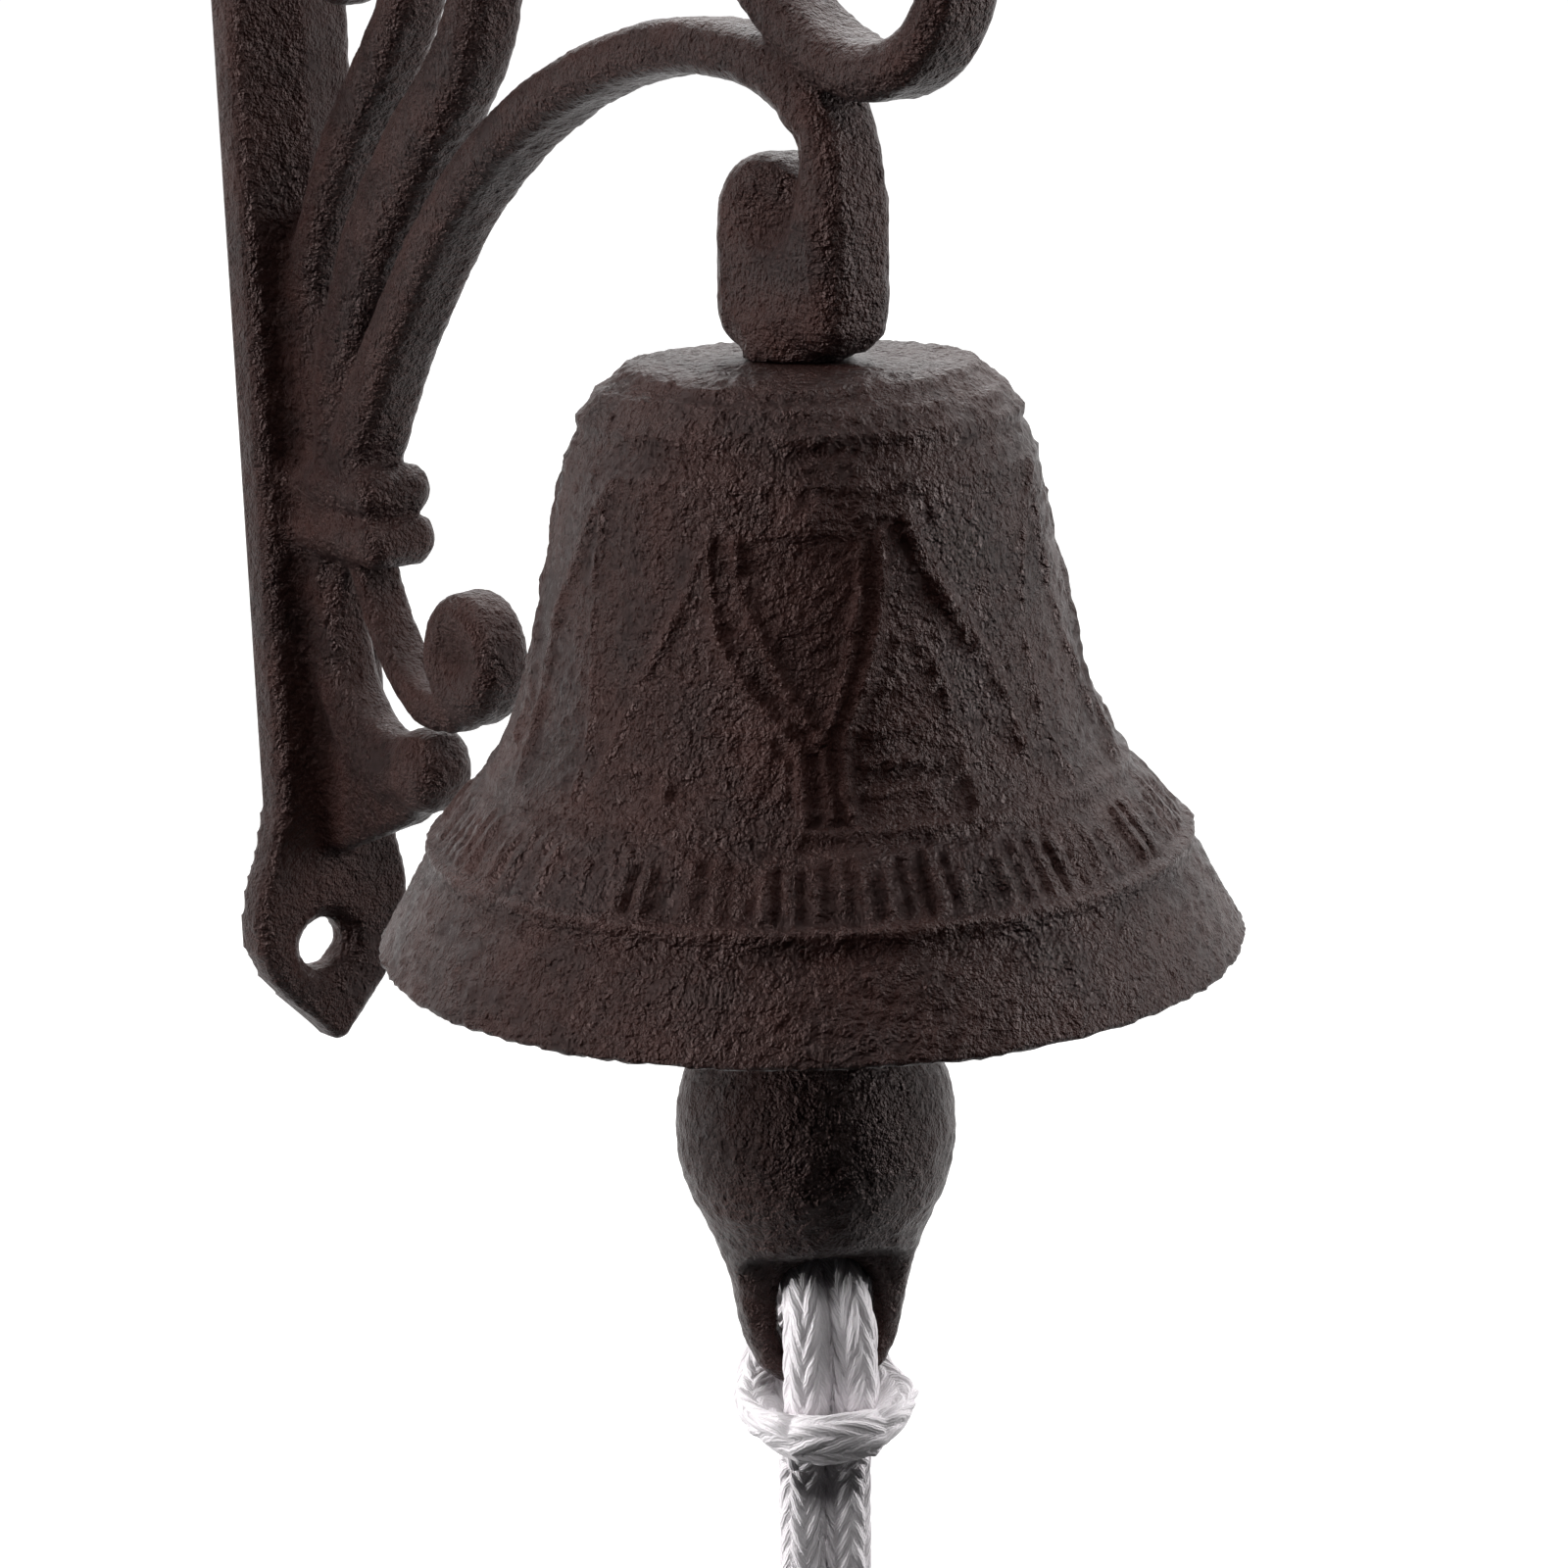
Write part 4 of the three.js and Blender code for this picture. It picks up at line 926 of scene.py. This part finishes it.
def steel_finish(name, colour, rough):
    """Dull zinc plating: a grey metal with cloudy spangle, small dark stains and fine scratches."""
    material, tree, shader = new_material(name)
    place = tree.nodes.new("ShaderNodeTexCoord").outputs["Object"]
    cloud = add_node(tree, "ShaderNodeTexNoise", Vector=place, Scale=420.0, Detail=5.0, Roughness=0.65)
    spangle = add_node(tree, "ShaderNodeTexVoronoi", {"feature": "F1"}, Vector=place, Scale=900.0)
    shade = result_of(tree, "MULTIPLY", cloud.outputs["Fac"], 0.8)
    shade = result_of(tree, "MULTIPLY_ADD", spangle.outputs["Distance"], 0.35, shade)
    stain = (colour[0] * 0.35, colour[1] * 0.32, colour[2] * 0.29)
    tone = ramp_of(tree, shade, 0.28, stain, 0.62, colour)
    dull = add_node(tree, "ShaderNodeMapRange", **{
        "Value": cloud.outputs["Fac"], "To Min": rough + 0.22, "To Max": rough})
    scratch = add_node(tree, "ShaderNodeTexNoise", Vector=place, Scale=2600.0, Detail=3.0)
    bump = add_node(tree, "ShaderNodeBump", Strength=0.35, Distance=0.00006, Height=scratch.outputs["Fac"])
    feed(tree, shader, {
        "Base Color": tone, "Roughness": dull.outputs["Result"], "Normal": bump.outputs["Normal"],
        "Metallic": 1.0,
    })
    return material


zinc = steel_finish("dull_zinc_plate", (0.34, 0.325, 0.305), 0.32)


def wire_loop(line, radius, columns=28):
    """A round wire along a closed line in an upright plane through the axis: each ring's axes are
    the plane's normal and its cross product with the line's direction."""
    after = np.roll(line, -1, axis=0)
    before = np.roll(line, 1, axis=0)
    ahead = after - before
    ahead /= np.linalg.norm(ahead, axis=1, keepdims=True)
    flat = np.cross(line[0] - line[len(line) // 4], line[0] - line[len(line) // 2])
    flat /= np.linalg.norm(flat)
    second = np.cross(ahead, flat[None, :])
    angle = np.arange(columns) * 2 * math.pi / columns
    radius = np.broadcast_to(radius, (len(line),))[:, None]
    points = (
        line[:, None, :]
        + (radius * np.cos(angle))[..., None] * flat[None, None, :]
        + (radius * np.sin(angle))[..., None] * second[:, None, :]
    ).reshape(-1, 3)
    return points, grid_quads(len(line), columns, closed_rows=True)[0]


# The eye is bent from the bolt's own wire. Its end stops just short of the shank and leaves a nick.
EYE_HEIGHT = 40.0
eye_turn = np.linspace(0, 2 * math.pi, 120, endpoint=False)
eye_line = np.stack([5.0 * np.sin(eye_turn), 0 * eye_turn, EYE_HEIGHT + 5.0 * np.cos(eye_turn)], -1)
closing = 1.9 - 0.35 * np.exp(-((eye_turn - 0.62) / 0.05) ** 2)
eye_points, eye_quads = wire_loop(eye_line, closing, 32)

# The shank. The thread's tooth is a triangle wave of the height less the turn, at 1 mm pitch.
SHANK_FOOT = 45.2
SHANK_TOP = 70.0
thread_rows = 200
thread_columns = 40
thread_z = np.linspace(SHANK_FOOT, SHANK_TOP, thread_rows)[:, None]
thread_turn = np.arange(thread_columns)[None, :] / thread_columns
pitch_place = (thread_z - thread_turn) % 1.0
tooth = 1.0 - np.abs(pitch_place * 2.0 - 1.0)
threaded = step_between(thread_z, 46.4, 47.2)
shank_radius = 2.95 - 0.45 * threaded * np.clip(tooth * 1.25 - 0.12, 0.0, 1.0)
shank_radius = shank_radius - 0.5 * step_between(thread_z, SHANK_TOP - 0.8, SHANK_TOP)
shank_points = np.stack(np.broadcast_arrays(
    shank_radius * np.cos(2 * math.pi * thread_turn),
    shank_radius * np.sin(2 * math.pi * thread_turn),
    thread_z,
), -1).reshape(-1, 3)
ends = [[0.0, 0.0, SHANK_FOOT], [0.0, 0.0, SHANK_TOP]]
bolt_points = np.concatenate([eye_points, shank_points, ends])
shank_quads = grid_quads(thread_rows, thread_columns)[0] + len(eye_points)
shank_ends = end_fans(thread_rows, thread_columns) + len(eye_points)
bolt_faces = eye_quads.tolist() + shank_quads.tolist() + shank_ends.tolist()
eye_bolt = put_in_mesh("eye_bolt_with_thread", on_bell_axis(bolt_points), bolt_faces, zinc)
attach(eye_bolt, "bracket")
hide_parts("eye_bolt")


def turned_ring(section, outline, columns):
    """A ring turned about the upright axis: the section's radius, cut back to the outline's radius
    at each angle; both are millimetres. The section is a closed line of (radius, height)."""
    angle = np.arange(columns) * 2 * math.pi / columns
    radius = np.minimum(section[:, 0][:, None], outline(angle)[None, :])
    points = np.stack(np.broadcast_arrays(
        radius * np.cos(angle), radius * np.sin(angle), section[:, 1][:, None]), -1).reshape(-1, 3)
    return points, grid_quads(len(section), columns, closed_rows=True)[0]


washer_section = np.array([
    (3.35, 53.6), (3.5, 53.52), (6.5, 53.5), (6.85, 53.6), (7.0, 53.85), (7.0, 54.35), (6.85, 54.6),
    (6.5, 54.7), (3.5, 54.7), (3.35, 54.55),
])[::-1]
uncut = np.inf
washer_points, washer_quads = turned_ring(washer_section, lambda a: np.full(a.shape, uncut), 72)
washer = put_in_mesh("plain_washer", on_upright_axis(washer_points), washer_quads.tolist(), zinc,
                     smooth=False)
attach(washer, "bracket")
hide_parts("crown_washer")


def six_sides(angle):
    """Radius of a hexagon 10 mm across its flats: half that over the cosine from the flat's middle."""
    return 5.0 / np.cos((angle % (math.pi / 3)) - math.pi / 6)


nut_section = np.array([
    (3.0, 52.7), (3.5, 53.2), (5.0, 53.2), (5.3, 53.05), (5.8, 52.75), (5.8, 48.65), (5.3, 48.35),
    (5.0, 48.2), (3.5, 48.2), (3.0, 48.7), (3.0, 50.0), (3.0, 51.4),
])[::-1]
nut_sides = zip(nut_section, np.roll(nut_section, -1, axis=0))
nut_line = np.concatenate([np.linspace(a, b, 5, endpoint=False) for a, b in nut_sides])
nut_points, nut_quads = turned_ring(nut_line, six_sides, 144)
nut = put_in_mesh("hexagon_nut", on_upright_axis(nut_points), nut_quads.tolist(), zinc, smooth=False)
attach(nut, "bracket")
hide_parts("hex_nut")


# --------------------------------------
# Clapper link. A closed long ring bent from 3 mm steel wire and welded at one side. It hangs in
# the bolt's eye and carries the clapper's eye.
# --------------------------------------

LINK_TOP = 38.7
LINK_ARC = 4.3
LINK_STRAIGHT = 6.0
half_turn = np.linspace(0, math.pi, 36)
straight = np.linspace(0, 1, 12)[1:-1]
arc_y = LINK_ARC * np.cos(half_turn)
arc_z = LINK_ARC * np.sin(half_turn)
upper = LINK_TOP - LINK_ARC
lower = upper - LINK_STRAIGHT
link_y = np.concatenate([arc_y, -LINK_ARC + 0 * straight, -arc_y, LINK_ARC + 0 * straight])
link_z = np.concatenate([
    upper + arc_z, upper - LINK_STRAIGHT * straight, lower - arc_z, lower + LINK_STRAIGHT * straight,
])
link_line = np.stack([0 * link_y, link_y, link_z], -1)
weld = 1.5 + 0.22 * np.exp(-((link_line[:, 2] - 31.4) / 0.55) ** 2) * (link_line[:, 1] > 3.0)
link_points, link_quads = wire_loop(link_line, weld, 28)
link = put_in_mesh("wire_link", on_bell_axis(link_points), link_quads.tolist(), zinc)
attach(link, "link")
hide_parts("clapper_link")


# --------------------------------------
# Clapper. One iron casting: an eye in the link, a stem inside the bell, the ball below the rim and
# a flat tail with the slot for the cord. Lacquered like the bell.
# --------------------------------------

clapper_iron = iron_finish("lacquered_iron_clapper", 1.05, 0.52, 0.30, (0.0060, 0.0026, 0.0022),
                           (0.0210, 0.0080, 0.0063))
# Its field is sampled at this step from these lowest corners.
SMALL = 0.42
CLAPPER_SIDE = -15.8
CLAPPER_FOOT = -52.8
cx = np.arange(CLAPPER_SIDE, 15.9, SMALL)[:, None, None]
cy = np.arange(CLAPPER_SIDE, 15.9, SMALL)[None, :, None]
cz = np.arange(CLAPPER_FOOT, 31.4, SMALL)[None, None, :]
clapper_side = smooth_line([
    (0, -50.6), (4.0, -50.2), (6.7, -48.4), (8.2, -45.6), (9.0, -42.2), (9.7, -38.4), (10.7, -35),
    (12.2, -31.2), (13.8, -27.6), (14.7, -24), (14.85, -20.6), (14.3, -17.0), (12.9, -13.6),
    (10.7, -10.9), (8, -8.8), (6, -6.6), (4.9, -3), (4.4, 4), (4, 12), (3.6, 18.6), (0, 19.2),
], 1.0)

# The turned shape: the distance to its side outline, closed behind the axis, is worked out for
# every radius and level, and each point of the field takes it from the two nearest radii.
RADIUS_STEP = 0.25
side_r, side_z = np.meshgrid(np.arange(0, 23.0, RADIUS_STEP), cz.ravel(), indexing="ij")
side_outline = [(float(r), float(z)) for r, z in clapper_side] + [(-4.0, 19.2), (-4.0, -51.7)]
side_distance = distance_to_outline(side_r, side_z, side_outline)
place = np.clip(np.hypot(cx, cy) / RADIUS_STEP, 0, side_r.shape[0] - 1.001)
low = place.astype(int)
part = place - low
levels = np.arange(cz.size)[None, None, :]
body = side_distance[low, levels] * (1 - part) + side_distance[low + 1, levels] * part
clapper_eye = np.hypot(np.hypot(cx, cz - 23.4) - 4.6, cy) - 2.1
body = melt(body, clapper_eye, 1.6)

# The tail's flat cheeks. Their half thickness grows from the tail's to the ball's.
cheek_half = 4.5 + 0.6 * step_between(cz, -42.0, -36.5) + 11.5 * step_between(cz, -37.4, -28.6) ** 1.5
cheek_half = cheek_half - 0.3 * np.clip((cx / 8.0) ** 2, 0, 1)
body = carve(body, cheek_half * 0.98 - np.abs(cy), 1.2)

# The slot: an upright opening with an arched top and rounded lower corners, wider at its mouths.
slot_flat = np.hypot(np.maximum(np.abs(cx) - 1.9, 0.0), np.maximum(np.abs(cz + 41.4) - 2.4, 0.0)) - 2.8
arch_top = np.hypot(cx, np.maximum(cz + 39.5, 0.0)) - 4.75
slot_flat = melt(slot_flat, np.maximum(arch_top, -(cz + 43.4)), 0.6)
mouth = 0.25 * np.clip(np.abs(cy) / 4.6, 0.0, 1.4) ** 2
body = carve(body, slot_flat - mouth, 1.3)

points, faces = skin_of(body, (CLAPPER_SIDE, CLAPPER_SIDE, CLAPPER_FOOT), SMALL)
points = cast_skin(points, corner_normals(points, faces), 71)
clapper = put_in_mesh("cast_clapper", on_bell_axis(points), faces.tolist(), clapper_iron)
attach(clapper, "clapper")
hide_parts("clapper")


# --------------------------------------
# Studio. A plain pale floor far below that glows a little, a white room that is brightest behind
# the bell and dim on the camera's side, so the lacquer's face stays dark, and large soft lamps.
# --------------------------------------

def floor_finish():
    """Matt pale grey that drifts a little, with an even glow; from below it is clear."""
    material, tree, shader = new_material("pale_floor")
    place = tree.nodes.new("ShaderNodeTexCoord").outputs["Object"]
    cloud = add_node(tree, "ShaderNodeTexNoise", Vector=place, Scale=6.0, Detail=2.0)
    tone = ramp_of(tree, cloud.outputs["Fac"], 0.0, [0.44] * 3, 1.0, [0.47] * 3)
    feed(tree, shader, {
        "Base Color": tone, "Emission Color": (1.0, 1.0, 1.0, 1.0), "Emission Strength": 0.62,
        "Roughness": 0.9, "Specular IOR Level": 0.1,
    })
    from_below = tree.nodes.new("ShaderNodeNewGeometry").outputs["Backfacing"]
    clear = tree.nodes.new("ShaderNodeBsdfTransparent")
    surface = add_node(tree, "ShaderNodeMixShader", i0=from_below, i1=shader.outputs["BSDF"],
                       i2=clear.outputs["BSDF"])
    tree.links.new(surface.outputs["Shader"], tree.nodes["Material Output"].inputs["Surface"])
    return material


FLOOR_CORNERS = 96
FLOOR_RADIUS = 2.8
FLOOR_HEIGHT = -0.26
floor_turn = np.linspace(0.0, 2 * math.pi, FLOOR_CORNERS, endpoint=False)
floor_points = np.stack([
    FLOOR_RADIUS * np.cos(floor_turn) + 0.6,
    FLOOR_RADIUS * np.sin(floor_turn) + 0.7,
    np.full(FLOOR_CORNERS, FLOOR_HEIGHT),
], -1)
floor = put_in_mesh("floor", floor_points, [list(range(FLOOR_CORNERS))], floor_finish(), smooth=False)
# Light thrown up by it would wash out the lacquer, so it is left out of the bounces.
floor.visible_diffuse = False
floor.visible_glossy = False


def soft_lamp(name, place, aim, width, height, power):
    """A rectangular area lamp at `place`, in metres, that faces `aim`, with its power in watts."""
    lamp_data = bpy.data.lights.new(name, "AREA")
    lamp_data.shape = "RECTANGLE"
    lamp_data.size = width
    lamp_data.size_y = height
    lamp_data.energy = power
    lamp = bpy.data.objects.new(name, lamp_data)
    bpy.context.collection.objects.link(lamp)
    lamp.location = place
    direction = np.subtract(aim, place)
    yaw = math.atan2(direction[1], direction[0])
    pitch = math.atan2(direction[2], math.hypot(direction[0], direction[1]))
    lamp.rotation_euler = (math.pi / 2 + pitch, 0.0, yaw - math.pi / 2)


middle_of_bell = (0.0, -0.09, -0.02)
soft_lamp("lamp_left", (-0.76, 0.44, 0.22), middle_of_bell, 0.45, 1.0, 15.0)
soft_lamp("lamp_right", (0.90, -0.50, 0.22), middle_of_bell, 0.45, 1.0, 10.0)
soft_lamp("lamp_above", (0.15, 0.25, 0.95), middle_of_bell, 0.9, 0.9, 5.0)
soft_lamp("lamp_front", (-0.56, -0.86, 0.95), middle_of_bell, 0.22, 0.22, 6.0)
soft_lamp("lamp_floor_back", (1.5, 1.7, 1.2), (1.5, 1.7, FLOOR_HEIGHT), 2.6, 2.6, 52.0)

# The room's white grows towards the back: one ramp for the light that it gives, and a paler one
# for what is seen behind the object.
world = bpy.data.worlds.new("white_room")
bpy.context.scene.world = world
world.use_nodes = True
room = world.node_tree
room.nodes.clear()
direction = room.nodes.new("ShaderNodeTexCoord").outputs["Generated"]
towards_back = add_node(room, "ShaderNodeVectorMath", {"operation": "DOT_PRODUCT"},
                        i0=direction, i1=(0.64, 0.76, -0.10))
backward = result_of(room, "MULTIPLY_ADD", towards_back.outputs["Value"], 0.5, 0.5)
lighting = ramp_of(room, backward, 0.42, [0.02] * 3, 0.90, [1.0] * 3, "EASE")
backdrop = ramp_of(room, backward, 0.10, [0.74] * 3, 0.70, [1.0] * 3, "EASE")
seen = room.nodes.new("ShaderNodeLightPath").outputs["Is Camera Ray"]
shade = add_node(room, "ShaderNodeMix", {"data_type": "RGBA"}, Factor=seen, A=lighting, B=backdrop)
background = add_node(room, "ShaderNodeBackground", Color=shade.outputs["Result"], Strength=1.06)
add_node(room, "ShaderNodeOutputWorld", Surface=background.outputs["Background"])

bpy.context.scene.view_settings.view_transform = "Standard"
bpy.context.scene.view_settings.look = "None"
